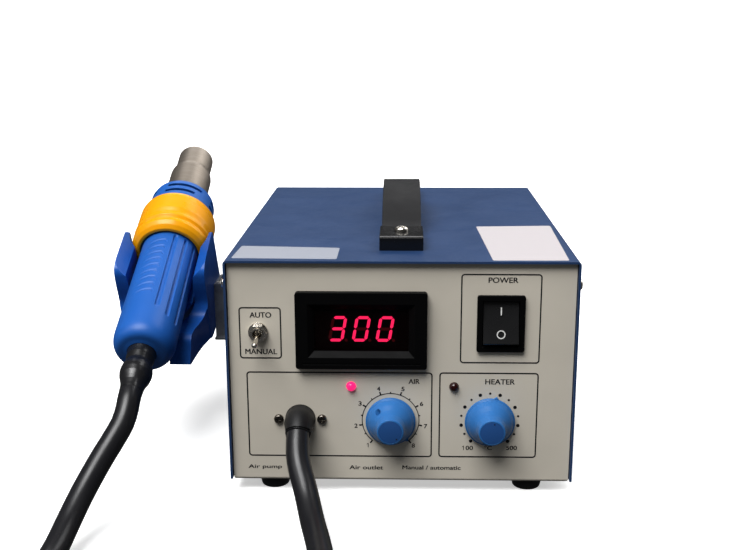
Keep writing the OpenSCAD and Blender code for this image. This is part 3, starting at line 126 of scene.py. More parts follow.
def linear(code: str) -> Colour:
    """Turns an sRGB hex colour into a linear one.

    Args:
        code: Six hex digits with a leading hash.

    Returns:
        Linear red, green and blue, and a full fourth channel.
    """
    parts = [int(code[i : i + 2], 16) / 255.0 for i in (1, 3, 5)]
    red, green, blue = (
        c / FOOT_SLOPE if c <= FOOT_END else ((c + CURVE_OFFSET) / (1.0 + CURVE_OFFSET)) ** CURVE_POWER for c in parts
    )
    return red, green, blue, 1.0


def add_node(
    tree: bpy.types.NodeTree, kind: str, settings: Optional[dict] = None, inputs: Optional[dict] = None
) -> bpy.types.Node:
    """Adds a node with its settings, values and links.

    Args:
        tree: The node tree that gets the node.
        kind: The node's type name.
        settings: Property values by name.
        inputs: Socket values or source sockets by socket name or number.

    Returns:
        The new node.
    """
    node = tree.nodes.new(kind)
    for key, value in (settings or {}).items():
        setattr(node, key, value)
    for key, value in (inputs or {}).items():
        if isinstance(value, Socket):
            tree.links.new(value, node.inputs[key])
        else:
            node.inputs[key].default_value = value
    return node


# A colour mix: its kind, the numbers of its share, lower and upper colour, and the number of its result
MIX = "ShaderNodeMix"
MIX_COLOURS = {"data_type": "RGBA"}
SHARE, UNDER, OVER, MIXED = 0, 6, 7, 2
# The whole swing of a noise, and how strong its finer layers are
FULL = (0.0, 1.0)
LAYER_SHARE = 0.55


@dataclass(frozen=True)
class Pattern:
    """Noise that lies over a surface.

    size is the width of its cells in millimetres, detail the number of its finer layers, band the part of
    its swing that counts, and stretch what its coordinates are multiplied by.
    """

    size: float
    detail: float = 3.0
    band: Flat = (0.3, 0.7)
    stretch: Point = (1.0, 1.0, 1.0)


@dataclass(frozen=True)
class Surface:
    """A material while its finish is drawn: its tree, its shader and the Object coordinates that it reads."""

    tree: bpy.types.NodeTree
    shader: bpy.types.Node
    place: Socket

    def feed(self, name: str, value: Socket) -> None:
        """Links a value to one of the shader's sockets."""
        self.tree.links.new(value, self.shader.inputs[name])

    def spread(self, pattern: Pattern, low: float = 0.0, high: float = 1.0) -> Socket:
        """Spreads a pattern over a range of values.

        Args:
            pattern: The pattern.
            low: The value at the lower end of its band.
            high: The value at the upper end.

        Returns:
            The value's socket.
        """
        laid = add_node(self.tree, "ShaderNodeMapping", inputs={"Vector": self.place, "Scale": pattern.stretch})
        cells = {"Vector": laid.outputs["Vector"], "Scale": 1.0 / (pattern.size * MM), "Detail": pattern.detail}
        noise = add_node(self.tree, "ShaderNodeTexNoise", inputs={**cells, "Roughness": LAYER_SHARE}).outputs["Fac"]
        band = {"Value": noise, "From Min": pattern.band[0], "From Max": pattern.band[1]}
        ends = {"To Min": low, "To Max": high}
        return add_node(self.tree, "ShaderNodeMapRange", inputs={**band, **ends}).outputs["Result"]

    def patches(self, under: Paint, over: Paint, pattern: Pattern, most: float = 1.0) -> Socket:
        """Lays one colour over another in a pattern.

        Args:
            under: The colour below.
            over: The colour laid on it.
            pattern: Where it lies.
            most: How much of it shows where the pattern is strongest.

        Returns:
            The mixed colour's socket.
        """
        colours = {SHARE: self.spread(pattern, 0.0, most), UNDER: under, OVER: over}
        return add_node(self.tree, MIX, MIX_COLOURS, colours).outputs[MIXED]

    def raise_by(self, height: Socket, depth: float) -> None:
        """Raises the surface by a height whose full swing is depth millimetres."""
        relief = {"Height": height, "Strength": 1.0, "Distance": depth * MM}
        self.feed("Normal", add_node(self.tree, "ShaderNodeBump", inputs=relief).outputs["Normal"])


# Finishes

# A colour that lies over a finish's own, its share where it is strongest, and where it lies
Mark = Tuple[str, float, Pattern]


def dust(share: float) -> Mark:
    """Gives pale specks of dust."""
    return "#b9b4a8", share, Pattern(0.9, 2.0, (0.66, 0.74))


def stain(colour: str) -> Mark:
    """Gives dull blots of a colour."""
    return colour, 0.55, Pattern(9.0, 5.0, (0.4, 0.72))


@dataclass(frozen=True)
class Finish:
    """A surface finish: what the material is, and how its surface was made.

    coat is the weight and roughness of a clear coat, and grain the size and depth in millimetres of the
    finest relief. Real grain is finer than 0.4 mm, which would not show, so it is drawn about that coarse.
    drift is where the colour changes by the share mottle, and gloss where the roughness changes within
    gloss_spread. Where they are None the grain itself does it. glow and strength are a light of its own.
    """

    name: str
    slot: str
    colour: str
    roughness: float = 0.5
    metallic: float = 0.0
    ior: float = 1.5
    specular: float = 0.5
    coat: Flat = (0.0, 0.1)
    alpha: float = 1.0
    glow: str = "#ffffff"
    strength: float = 0.0
    grain: Flat = (0.6, 0.05)
    detail: float = 3.0
    stretch: Point = (1.0, 1.0, 1.0)
    mottle: float = 0.06
    drift: Optional[Pattern] = Pattern(30.0)
    marks: Tuple[Mark, ...] = ()
    gloss: Optional[Pattern] = Pattern(10.5, 5.0, (0.25, 0.75))
    gloss_spread: Flat = (-0.06, 0.06)

    def build(self) -> bpy.types.Material:
        """Makes the material once, and gives the same one afterwards.

        Returns:
            The finished material.
        """
        found = bpy.data.materials.get(self.name)
        if found is not None:
            return found
        material = bpy.data.materials.new(self.name)
        material.use_nodes = True
        tree = material.node_tree
        tree.nodes.clear()
        values = {
            "Base Color": linear(self.colour), "Roughness": self.roughness, "Metallic": self.metallic,
            "IOR": self.ior, "Specular IOR Level": self.specular,
            "Coat Weight": self.coat[0], "Coat Roughness": self.coat[1], "Alpha": self.alpha,
            "Emission Color": linear(self.glow), "Emission Strength": self.strength,
        }
        shader = add_node(tree, "ShaderNodeBsdfPrincipled", inputs=values)
        output = add_node(tree, "ShaderNodeOutputMaterial", inputs={"Surface": shader.outputs["BSDF"]})
        output.is_active_output = True
        self.draw(Surface(tree, shader, add_node(tree, "ShaderNodeTexCoord").outputs["Object"]))
        return material

    def shade(self, factor: float) -> Colour:
        """Gives the finish's colour made lighter or darker by a factor."""
        red, green, blue, _ = linear(self.colour)
        return min(red * factor, 1.0), min(green * factor, 1.0), min(blue * factor, 1.0), 1.0

    def ground(self, surface: Surface, drift: Pattern) -> Tuple[Surface, Socket]:
        """Gives the surface to draw on, and the finish's colour, darker and lighter by turns."""
        return surface, surface.patches(self.shade(1.0 - self.mottle), self.shade(1.0 + self.mottle), drift)

    def draw(self, surface: Surface) -> None:
        """Adds the surface's own detail: a drift of colour, marks, uneven gloss and the grain.

        Args:
            surface: The material's surface.
        """
        size, depth = self.grain
        relief = Pattern(size, self.detail, FULL, self.stretch)
        surface, colour = self.ground(surface, self.drift or replace(relief, band=Pattern.band))
        for code, share, pattern in self.marks:
            colour = surface.patches(colour, linear(code), pattern, share)
        surface.feed("Base Color", colour)
        low, high = (self.roughness + change for change in self.gloss_spread)
        surface.feed("Roughness", surface.spread(self.gloss or relief, low, high))
        surface.raise_by(surface.spread(relief), depth)


@dataclass(frozen=True)
class PowderCoat(Finish):
    """Baked powder paint on sheet steel: a faint orange peel under a gloss, and a few fine scuffs."""

    grain: Flat = (1.3, 0.010)
    detail: float = 2.0
    drift: Optional[Pattern] = Pattern(60.0)
    marks: Tuple[Mark, ...] = (("#c9ccd2", 0.10, Pattern(0.8, 6.0, (0.69, 0.8), (1.0, 0.12, 1.0))),)
    gloss: Optional[Pattern] = Pattern(14.0, 5.0, (0.25, 0.75))
    gloss_spread: Flat = (-0.05, 0.07)


@dataclass(frozen=True)
class TurnedMetal(Finish):
    """Metal worked in one direction: its fine lines give the relief, the colour and the gloss."""

    grain: Flat = (0.35, 0.01)
    stretch: Point = (1.0, 0.02, 1.0)
    drift: Optional[Pattern] = None
    gloss: Optional[Pattern] = None


# The tool lines of the tube run round it
ROUND_TUBE = (0.06, 0.06, 3.0)


@dataclass(frozen=True)
class HeatedSteel(Finish):
    """Stainless tube that has run hot: a warm oxide that pales towards the mouth, under tool lines.

    hot is where the oxide starts and where it is palest, in metres along the tube, and wander how uneven
    its rings are.
    """

    grain: Flat = (0.5, 0.01)
    detail: float = 4.0
    stretch: Point = ROUND_TUBE
    marks: Tuple[Mark, ...] = (("#8f867b", 0.5, Pattern(0.5, 4.0, (0.35, 0.7), ROUND_TUBE)),)
    gloss: Optional[Pattern] = Pattern(0.5, 4.0, stretch=ROUND_TUBE)
    gloss_spread: Flat = (-0.06, 0.08)
    hot: Flat = (0.030, 0.082)
    blur: Pattern = Pattern(12.0, 3.0, FULL)
    wander: float = 0.016
    near: str = "#a99f94"
    far: str = "#beb4a9"

    def ground(self, surface: Surface, drift: Pattern) -> Tuple[Surface, Socket]:
        """Turns the surface to the tube's axis, and draws the rings of oxide along it.

        Args:
            surface: The material's surface.
            drift: Left out, because the rings take its place.

        Returns:
            The turned surface, and the oxide's colour.
        """
        tree = surface.tree
        off = {0: surface.place, 1: tuple(HAND.translation)}
        there = add_node(tree, "ShaderNodeVectorMath", {"operation": "SUBTRACT"}, off).outputs["Vector"]
        upright = {"Vector": there, "Rotation": (-HAND_TURN, 0.0, 0.0)}
        tube = replace(surface, place=add_node(tree, "ShaderNodeMapping", inputs=upright).outputs["Vector"])
        height = add_node(tree, "ShaderNodeSeparateXYZ", inputs={"Vector": tube.place}).outputs["Z"]
        blur = {0: tube.spread(self.blur, 0.0, self.wander), 1: height}
        wavy = add_node(tree, "ShaderNodeMath", {"operation": "ADD"}, blur).outputs["Value"]
        climb = {"Value": wavy, "From Min": self.hot[0], "From Max": self.hot[1]}
        share = add_node(tree, "ShaderNodeMapRange", inputs=climb).outputs["Result"]
        oxide = {SHARE: share, UNDER: linear(self.near), OVER: linear(self.far)}
        return tube, add_node(tree, MIX, MIX_COLOURS, oxide).outputs[MIXED]


@dataclass(frozen=True)
class Winding(Finish):
    """Enamelled wire wound in even turns, with painted shade in the gaps between them and the crowns painted lighter
    as highlights.
    """

    wire_mm: float = 0.5
    bands: float = 0.49975
    unevenness: float = 0.6
    gap_painted_shade: float = 0.45
    crown_painted_highlight: float = 1.1

    def draw(self, surface: Surface) -> None:
        """Adds the ridges of the turns, with painted shade in their gaps and a painted highlight on their crowns.

        Args:
            surface: The material's surface.
        """
        scale = self.bands / (self.wire_mm * MM)
        turns = {"Vector": surface.place, "Scale": scale, "Distortion": self.unevenness, "Detail": 1.0}
        wave = add_node(surface.tree, "ShaderNodeTexWave", {"bands_direction": "Z"}, turns).outputs["Fac"]
        # Painted shade in the gaps between turns, and a painted highlight on their crowns
        wire = {SHARE: wave, UNDER: self.shade(self.gap_painted_shade), OVER: self.shade(self.crown_painted_highlight)}
        surface.feed("Base Color", add_node(surface.tree, MIX, MIX_COLOURS, wire).outputs[MIXED])
        surface.raise_by(wave, self.grain[1])


# Baked powder paint, blue: its gloss picks up the room
COVER_BLUE = PowderCoat("cover_blue_powder_coat", "cover_paint", "#2e4871", 0.36, specular=0.4, coat=(0.15, 0.1))
# Stoved enamel, warm grey-beige: flat and satin
PANEL_BEIGE = PowderCoat("panel_beige_stoved_enamel", "panel_paint", "#e0d9cb", 0.44, grain=(0.9, 0.010))
# Nickel plate on turned brass and steel: bright, with sharp dark reflections
NICKEL = TurnedMetal(
    "bright_nickel_plate", "bright_steel", "#e2ddd4", 0.25, 1.0, grain=(0.35, 0.004), mottle=0.05,
    gloss_spread=(-0.04, 0.04),
)
# Darkened screw steel: grey with a soft sheen
DARK_STEEL = TurnedMetal("darkened_screw_steel", "dark_steel", "#6f6a63", 0.27, 1.0, mottle=0.1)
# Zinc plate on pressed steel: greyer and softer than nickel, with dull blots
ZINC = TurnedMetal(
    "zinc_plated_pressed_steel", "plate_steel", "#8d8f92", 0.36, 1.0, grain=(0.35, 0.012), mottle=0.08,
    marks=(stain("#74777b"),),
)
BRACKET_ZINC = TurnedMetal(
    "bracket_zinc_plated_steel", "bracket_steel", "#a2a4a7", 0.40, 0.65, grain=(0.35, 0.015), mottle=0.08,
    marks=(stain("#5f6266"),),
)
# Natural rubber, moulded: dull with a faint bloom, and the boot rubbed to a sheen
RUBBER = Finish(
    "moulded_black_rubber", "rubber_black", "#19191b", specular=0.4, grain=(0.7, 0.02), marks=(dust(0.03),)
)
BOOT_RUBBER = Finish("boot_moulded_rubber", "rubber_black", "#1c1c1e", 0.32, coat=(0.3, 0.2), grain=(0.8, 0.02))
# Silicone hose, extruded: a long soft highlight, with dust in the sheen
HOSE_SKIN = Finish(
    "hose_extruded_silicone", "hose_silicone", "#202023", 0.34, specular=0.4, coat=(0.16, 0.22), grain=(1.1, 0.015),
    marks=(dust(0.05),),
)
# Soft vinyl, moulded: dark grey with a fine leather-like grain
STRAP_VINYL = Finish(
    "strap_moulded_vinyl", "strap_vinyl", "#1a1a1c", 0.6, specular=0.3, grain=(0.9, 0.05), mottle=0.05
)
# ABS, moulded and polished: the strap's end caps, black with a crisp highlight
CAP_ABS = Finish("cap_gloss_black_abs", "cap_plastic", "#0e0e0f", 0.24, coat=(0.2, 0.1), grain=(0.6, 0.008))
# ABS, moulded and etched: black that hardly shines
BLACK_ABS = Finish("moulded_black_abs", "black_plastic", "#0b0b0c", 0.46, specular=0.07, grain=(0.5, 0.01))
# Nylon, moulded glossy: the rocker, a shade paler than its frame
ROCKER_NYLON = Finish(
    "rocker_gloss_black_nylon", "switch_plastic", "#232324", 0.28, specular=0.45, grain=(0.5, 0.006)
)
# Acrylic sheet, deep red: black until the digits shine through it
WINDOW_RED = Finish(
    "window_tinted_acrylic", "window_acrylic", "#0d0203", 0.12, specular=0.22, alpha=0.42, grain=(0.6, 0.0)
)
# Cast epoxy: the digit block, dull and nearly black, with its lit bars, and its dark bars that get a faint painted
# glow
DIGIT_BLACK = Finish("digit_block_black_epoxy", "digit_block", "#0c0304", 0.6, specular=0.2)
SEGMENT_LIT = Finish("segment_lit", "digit_block", "#ff2a5a", 0.4, glow="#ff2a62", strength=3.4)
# The unlit bars and points glow faintly: painted light, since they are no lamp
SEGMENT_UNLIT_PAINTED_GLOW = Finish("segment_unlit_painted_glow", "digit_block", "#5a0d18", 0.35, glow="#7a0c1c", strength=0.5)
# ABS, moulded satin: the knobs, sky blue, with a darker face disc and a near-black mark
KNOB_BLUE = Finish("knob_satin_blue_abs", "knob_plastic", "#3a78b8", 0.33, specular=0.25, grain=(0.5, 0.012))
KNOB_DISC = Finish("knob_face_disc_blue", "knob_plastic", "#2a5a98", 0.42, grain=(0.4, 0.015))
MARK_DARK = Finish("pressed_mark_dark", "knob_plastic", "#10141c", 0.6)
# Epoxy lamps, cast: one glows pink, one is clear dark red
LAMP_PINK = Finish("lamp_lit_pink_epoxy", "lamp_lit", "#e8205c", 0.15, glow="#ff2c80", strength=0.9)
LAMP_RED = Finish("lamp_dark_red_epoxy", "lamp_dark", "#2a0608", 0.12, coat=(0.3, 0.1))
# Screen-printed ink, near black and dull, and white ink printed on the rocker
INK = Finish("screen_printed_ink", "dark_steel", "#14141a", 0.6, specular=0.3, grain=(0.6, 0.0))
WHITE_INK = Finish("pad_printed_white_ink", "switch_plastic", "#e8e8e6", grain=(0.6, 0.004))
# Glass-filled nylon and ABS, moulded: strong satin blues, and the warm yellow ring
HANDLE_BLUE = Finish(
    "handle_blue_nylon", "barrel_plastic", "#2565b6", 0.42, specular=0.4, grain=(0.45, 0.02), mottle=0.03
)
CRADLE_BLUE = Finish("cradle_blue_abs", "cradle_plastic", "#205eb0", 0.36, specular=0.28, grain=(0.6, 0.015))
RING_YELLOW = Finish(
    "ring_yellow_nylon", "ring_plastic", "#f9ab08", 0.30, specular=0.4, grain=(0.5, 0.012), mottle=0.03
)
# Stainless tube, drawn and heated: dull, brownish grey
TUBE_STEEL = HeatedSteel("tube_heated_stainless", "tube_steel", "#bab1a6", 0.47, 1.0, grain=(0.5, 0.01))
# Fired ceramic, chalky, and sheet mica, flaky and amber
CERAMIC = Finish("heater_fired_ceramic", "ceramic", "#cfc7b8", 0.75, grain=(0.6, 0.04))
MICA = Finish("shield_sheet_mica", "mica", "#9a8556", 0.3, grain=(1.5, 0.03), mottle=0.2)
# Label films, silvered and white, both blank and even
EVEN = {"grain": (0.6, 0.0), "mottle": 0.0, "gloss_spread": (0.0, 0.0)}
LABEL_SILVER = Finish("label_silvered_film", "bright_steel", "#c6cad6", 0.3, 0.35, **EVEN)
LABEL_WHITE = Finish("label_white_film", "head_plastic", "#cbc5c7", 0.42, **EVEN)
# Stacked sheet steel: dark, with the edges of the sheets
LAMINATION = TurnedMetal(
    "laminated_sheet_steel", "lamination", "#56524c", 0.5, 0.8, grain=(0.5, 0.05), stretch=(0.05, 0.05, 1.0),
    mottle=0.35,
)
# Enamelled copper, wound, and the amber polyester tape over it
COPPER_WIRE = Winding("enamelled_copper_winding", "copper_coil", "#a4562a", 0.35, grain=(0.6, 0.12))
TAPE = Finish("coil_polyester_tape", "coil_tape", "#b7932f", 0.35, mottle=0.1)
# Nylon, moulded, cream and satin, and a cloudy silicone tube
HEAD_PLASTIC = Finish("pump_head_moulded_nylon", "head_plastic", "#cfc9b8")
CLEAR_TUBE = Finish("pump_silicone_tube", "clear_tube", "#c4c2b8", 0.35)
# Solder mask on glass-fibre board: green with an uneven sheen
BOARD_GREEN = Finish("board_solder_mask", "board_green", "#1f5c36", 0.35, mottle=0.15)
# Turned brass, extruded aluminium, plated magnet, stamped cans and turned shafts: plain worked metals
BRASS = TurnedMetal("turned_brass", "post_brass", "#b08d48", 0.3, 1.0, grain=(0.35, 0.004))
ALUMINIUM = TurnedMetal("extruded_aluminium", "sink_aluminium", "#a9adb1", 0.4, 1.0, stretch=(1.0, 1.0, 0.03))
MAGNET = TurnedMetal("plated_magnet", "magnet_steel", "#a5a7ab", 0.3, 1.0, grain=(0.35, 0.004))
CONTROL_METAL = TurnedMetal("stamped_control_can", "control_metal", "#96969a", 0.4, 1.0)
SHAFT_METAL = TurnedMetal("turned_aluminium_shaft", "shaft_metal", "#b4b4b6", 0.35, 1.0, grain=(0.35, 0.006))


# Mesh helpers


def moved(shape: Shape, by: Sequence[float]) -> Shape:
    """Moves a shape, and gives it back."""
    bmesh.ops.translate(shape, vec=by, verts=shape.verts)
    return shape


def turned(shape: Shape, degrees: float, axis: str, about: Point = (0.0, 0.0, 0.0)) -> Shape:
    """Turns a shape round an axis through a point, and gives it back."""
    bmesh.ops.rotate(shape, cent=about, matrix=Matrix.Rotation(math.radians(degrees), 3, axis), verts=shape.verts)
    return shape


def placed(name: str, data: bpy.types.ID) -> bpy.types.Object:
    """Stands an object in the scene.

    Args:
        name: Its name.
        data: Its mesh, curve, light or camera.

    Returns:
        The object.
    """
    made = bpy.data.objects.new(name, data)
    bpy.context.collection.objects.link(made)
    return made


def mesh_of(name: str, shape: Shape) -> bpy.types.Mesh:
    """Turns a shape into a mesh.

    Args:
        name: The mesh's name.
        shape: The shape, which is freed.

    Returns:
        The mesh.
    """
    mesh = bpy.data.meshes.new(name)
    shape.to_mesh(mesh)
    shape.free()
    return mesh


def worked(host: bpy.types.Object) -> Shape:
    """Gives the mesh that a curve, a text or an object with modifiers comes to.

    Args:
        host: The object, which stands in the scene.

    Returns:
        Its mesh.
    """
    bpy.context.view_layer.update()
    mesh = bpy.data.meshes.new_from_object(host.evaluated_get(bpy.context.evaluated_depsgraph_get()))
    shape = bmesh.new()
    shape.from_mesh(mesh)
    bpy.data.meshes.remove(mesh)
    return shape


def cleared(host: bpy.types.Object) -> None:
    """Removes a helper object.

    Args:
        host: The object, which goes with its data.
    """
    data = host.data
    bpy.data.objects.remove(host)
    (bpy.data.meshes if isinstance(data, bpy.types.Mesh) else bpy.data.curves).remove(data)


def spun(shape: Shape, geom: list, degrees: float, steps: int) -> Shape:
    """Spins edges round the z axis, and closes a full turn.

    Args:
        shape: The shape, which is changed.
        geom: Its points and edges that are spun.
        degrees: The turn.
        steps: How many steps it has.

    Returns:
        The same shape.
    """
    bmesh.ops.spin(
        shape, geom=geom, cent=(0, 0, 0), axis=(0, 0, 1), dvec=(0, 0, 0), angle=math.radians(degrees), steps=steps,
        use_merge=degrees == FULL_TURN, use_normal_flip=False, use_duplicate=False,
    )
    return shape


def lathe(profile: Sequence[Flat], steps: int = 96, closed: bool = False) -> Shape:
    """Spins a profile round the z axis.

    Args:
        profile: Radius and height of each point.
        steps: How many steps the full turn has.
        closed: Whether the last point joins the first.

    Returns:
        The turned shape.
    """
    shape = bmesh.new()
    verts = [shape.verts.new((r, 0.0, h)) for r, h in profile]
    edges = [shape.edges.new(pair) for pair in zip(verts, verts[1:])]
    if closed:
        edges.append(shape.edges.new((verts[-1], verts[0])))
    spun(shape, verts + edges, FULL_TURN, steps)
    bmesh.ops.remove_doubles(shape, verts=shape.verts, dist=WELD)
    bmesh.ops.recalc_face_normals(shape, faces=shape.faces)
    return shape


def rounded(points: Sequence[Point], steps: int = 5) -> List[Flat]:
    """Rounds the corners of a flat line.

    Args:
        points: First and second coordinate of each corner, and its fillet radius.
        steps: How many steps each fillet has.

    Returns:
        The rounded line's points.
    """
    line: List[Flat] = []
    most = 0.49
    for i, (u, v, radius) in enumerate(points):
        corner = Vector((u, v))
        if radius <= 0.0 or i in (0, len(points) - 1):
            line.append((u, v))
            continue
        back = Vector(points[i - 1][:2]) - corner
        ahead = Vector(points[i + 1][:2]) - corner
        half = back.angle(ahead) / 2.0
        reach = min(radius / math.tan(half), most * back.length, most * ahead.length)
        start, end = corner + back.normalized() * reach, corner + ahead.normalized() * reach
        for k in range(steps + 1):
            t = k / steps
            p = start * (1 - t) ** 2 + corner * 2 * t * (1 - t) + end * t**2
            line.append((p.x, p.y))
    return line


def block(size: Point, centre: Point) -> Shape:
    """Makes a box.

    Args:
        size: Its lengths along x, y and z.
        centre: Its middle.

    Returns:
        The box.
    """
    shape = bmesh.new()
    bmesh.ops.create_cube(shape, size=1.0)
    bmesh.ops.scale(shape, vec=size, verts=shape.verts)
    return moved(shape, centre)


def soften(shape: Shape, width: float, segments: int, above: float = 30.0) -> Shape:
    """Bevels every edge whose faces meet at more than an angle.

    Args:
        shape: The shape, which is changed.
        width: Width of the bevel.
        segments: How many segments it has.
        above: The angle in degrees.

    Returns:
        The same shape.
    """
    limit = math.radians(above)
    sharp = [e for e in shape.edges if len(e.link_faces) == 2 and e.calc_face_angle(0.0) > limit]
    bmesh.ops.bevel(
        shape, geom=sharp, offset=width, offset_type="OFFSET", segments=segments, profile=0.5, affect="EDGES",
        material=-1, clamp_overlap=True, loop_slide=True,
    )
    return shape


def round_corners(shape: Shape, radius: float, segments: int) -> Shape:
    """Rounds the corners of a flat shape.

    Args:
        shape: The shape, which is changed.
        radius: Radius of its corners.
        segments: Segments of each corner.

    Returns:
        The same shape.
    """
    bmesh.ops.bevel(
        shape, geom=list(shape.verts), offset=radius, offset_type="OFFSET", segments=segments, profile=0.5,
        affect="VERTICES", material=-1,
    )
    return shape


def thickened(shape: Shape, depth: float, axis: int = 2) -> Shape:
    """Raises flat faces along an axis into a closed plate.

    Args:
        shape: Flat faces.
        depth: The plate's thickness.
        axis: The axis, 0 to 2.

    Returns:
        The same shape, closed.
    """
    made = bmesh.ops.extrude_face_region(shape, geom=list(shape.faces), use_keep_orig=True)
    top = [g for g in made["geom"] if isinstance(g, bmesh.types.BMVert)]
    by = [depth if i == axis else 0.0 for i in range(3)]
    bmesh.ops.translate(shape, vec=by, verts=top)
    bmesh.ops.recalc_face_normals(shape, faces=shape.faces)
    return shape


def disc(centre: Flat, radius: float, lift: float = INK_LIFT, depth: float = INK_DEPTH) -> Shape:
    """Makes a round plate that faces +z.

    Args:
        centre: Its middle.
        radius: Its radius.
        lift: Height of its underside.
        depth: Its thickness.

    Returns:
        The plate.
    """
    shape = bmesh.new()
    bmesh.ops.create_cone(
        shape, cap_ends=True, cap_tris=False, segments=24, radius1=radius, radius2=radius, depth=depth
    )
    return moved(shape, (*centre, lift + depth / 2.0))


def joined(shapes: Iterable[Shape]) -> Shape:
    """Puts several shapes in one mesh, and frees them.

    Args:
        shapes: The shapes.

    Returns:
        One shape that holds them all.
    """
    whole = bmesh.new()
    for shape in shapes:
        mesh = mesh_of("part", shape)
        whole.from_mesh(mesh)
        bpy.data.meshes.remove(mesh)
    return whole


def carve(base: Shape, tool: Shape, cut: Cut = Cut.AWAY) -> Shape:
    """Cuts a shape with another or joins it to one, and frees both.

    Args:
        base: The shape that is worked.
        tool: The shape that works it.
        cut: What it does.

    Returns:
        The worked shape.
    """
    hosts = [placed("carving", mesh_of("carving", shape)) for shape in (base, tool)]
    step = hosts[0].modifiers.new("cut", "BOOLEAN")
    step.operation, step.solver, step.object = cut.value, "EXACT", hosts[1]
    made = worked(hosts[0])
    for host in hosts:
        cleared(host)
    bmesh.ops.remove_doubles(made, verts=made.verts, dist=WELD)
    return made


def cad_copy(node: str) -> Shape:
    """Copies a CAD node's mesh with its loose triangles merged into whole faces.

    Args:
        node: The node's name.

    Returns:
        The merged shape, in metres in the row frame.
    """
    shape = bmesh.new()
    shape.from_mesh(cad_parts[node].data)
    bmesh.ops.remove_doubles(shape, verts=shape.verts, dist=CAD_WELD)
    bmesh.ops.dissolve_limit(
        shape, angle_limit=CAD_FLAT, verts=shape.verts, edges=shape.edges, use_dissolve_boundaries=False
    )
    return shape


def word(text: str, centre: Flat, size: Flat, bolder: Point = (0.16, 0.05, 0.003)) -> Shape:
    """Makes bold printed letters that fill a box.

    Args:
        text: The letters.
        centre: Middle of the box.
        size: Its width and height.
        bolder: How far a second print of the letters is set off.

    Returns:
        The letters, facing +z.
    """
    curve = bpy.data.curves.new("word", "FONT")
    curve.body, curve.resolution_u = text, 6
    host = placed("word", curve)
    shape = worked(host)
    cleared(host)
    bmesh.ops.remove_doubles(shape, verts=shape.verts, dist=LETTER_WELD)
    low = Vector([min(v.co[i] for v in shape.verts) for i in range(3)])
    high = Vector([max(v.co[i] for v in shape.verts) for i in range(3)])
    moved(shape, -(low + high) / 2.0)
    scale = (size[0] / (high.x - low.x), size[1] / (high.y - low.y), 1.0)
    bmesh.ops.scale(shape, vec=scale, verts=shape.verts)
    moved(shape, (*centre, INK_LIFT))
    second = moved(shape.copy(), bolder)
    return joined([thickened(shape, INK_DEPTH), thickened(second, INK_DEPTH)])


def figure_one(centre: Flat, height: float) -> Shape:
    """Makes a figure one with a flag, facing +z.

    Args:
        centre: Its middle.
        height: Its height.

    Returns:
        The figure.
    """
    stem_w, stem_x, flag_w, flag_x, flag_turn = 0.34, 0.12, 0.289, -0.22, -50.0
    flag_h, middle = height * 0.36, INK_LIFT + INK_DEPTH / 2.0
    stem = block((stem_w, height, INK_DEPTH), (centre[0] + stem_x, centre[1], middle))
    flag = turned(block((flag_w, flag_h, INK_DEPTH), (0.0, 0.0, middle)), flag_turn, "Z")
    return joined([stem, moved(flag, (centre[0] + flag_x, centre[1] + flag_h, 0.0))])


def outline(low: Flat, high: Flat, corner: float, line: float) -> Shape:
    """Makes a printed frame: a rounded rectangle drawn with one line.

    Args:
        low: Its lower left corner.
        high: Its upper right corner.
        corner: Radius of its corners.
        line: Width of the line, which lies inside the rectangle.

    Returns:
        The frame, facing +z.
    """
    shape = bmesh.new()
    bmesh.ops.create_grid(shape, x_segments=1, y_segments=1, size=0.5)
    bmesh.ops.scale(shape, vec=(high[0] - low[0], high[1] - low[1], 1.0), verts=shape.verts)
    moved(round_corners(shape, corner, segments=6), ((low[0] + high[0]) / 2, (low[1] + high[1]) / 2, INK_LIFT))
    bmesh.ops.inset_region(
        shape, faces=list(shape.faces), thickness=line, use_even_offset=True, use_boundary=True
    )
    inner = max(shape.faces, key=lambda f: len(f.verts))
    bmesh.ops.delete(shape, geom=[inner], context="FACES_ONLY")
    return thickened(shape, INK_DEPTH)


def smooth_route(points: Sequence[Point], step: float) -> List[Vector]:
    """Lays a smooth line through points, with points an even distance apart.

    Args:
        points: The points that it goes through.
        step: Distance between the new points.

    Returns:
        The new points.
    """
    knots = [Vector(p) for p in points]
    knots = [knots[0] * 2 - knots[1], *knots, knots[-1] * 2 - knots[-2]]
    fine, shortest = 24, step * 0.3
    dense: List[Vector] = []
    for a, b, c, d in zip(knots, knots[1:], knots[2:], knots[3:]):
        for t in (k / fine for k in range(fine)):
            dense.append(
                0.5 * (2 * b + (c - a) * t + (2 * a - 5 * b + 4 * c - d) * t**2 + (3 * b - a - 3 * c + d) * t**3)
            )
    dense.append(knots[-2])
    even, gone = [dense[0]], 0.0
    for p, q in zip(dense, dense[1:]):
        gone += (q - p).length
        if gone >= step:
            even.append(q)
            gone = 0.0
    if (even[-1] - dense[-1]).length > shortest:
        even.append(dense[-1])
    else:
        even[-1] = dense[-1]
    return even


def swept(route: Sequence[Vector], radius: float, swell: Optional[Sequence[float]] = None) -> Shape:
    """Makes a capped round tube along a line.

    Args:
        route: The line's points.
        radius: The tube's radius.
        swell: A factor on the radius for each point.

    Returns:
        The tube.
    """
    curve = bpy.data.curves.new("line", "CURVE")
    curve.dimensions, curve.twist_mode, curve.use_fill_caps = "3D", "MINIMUM", True
    curve.bevel_depth, curve.bevel_resolution = radius, 5
    spline = curve.splines.new("POLY")
    spline.points.add(len(route) - 1)
    for i, (knot, p) in enumerate(zip(spline.points, route)):
        knot.co = (*p, 1.0)
        knot.radius = swell[i] if swell else 1.0
    host = placed("line", curve)
    shape = worked(host)
    cleared(host)
    bmesh.ops.remove_doubles(shape, verts=shape.verts, dist=radius * WELD)
    return shape


# Pieces


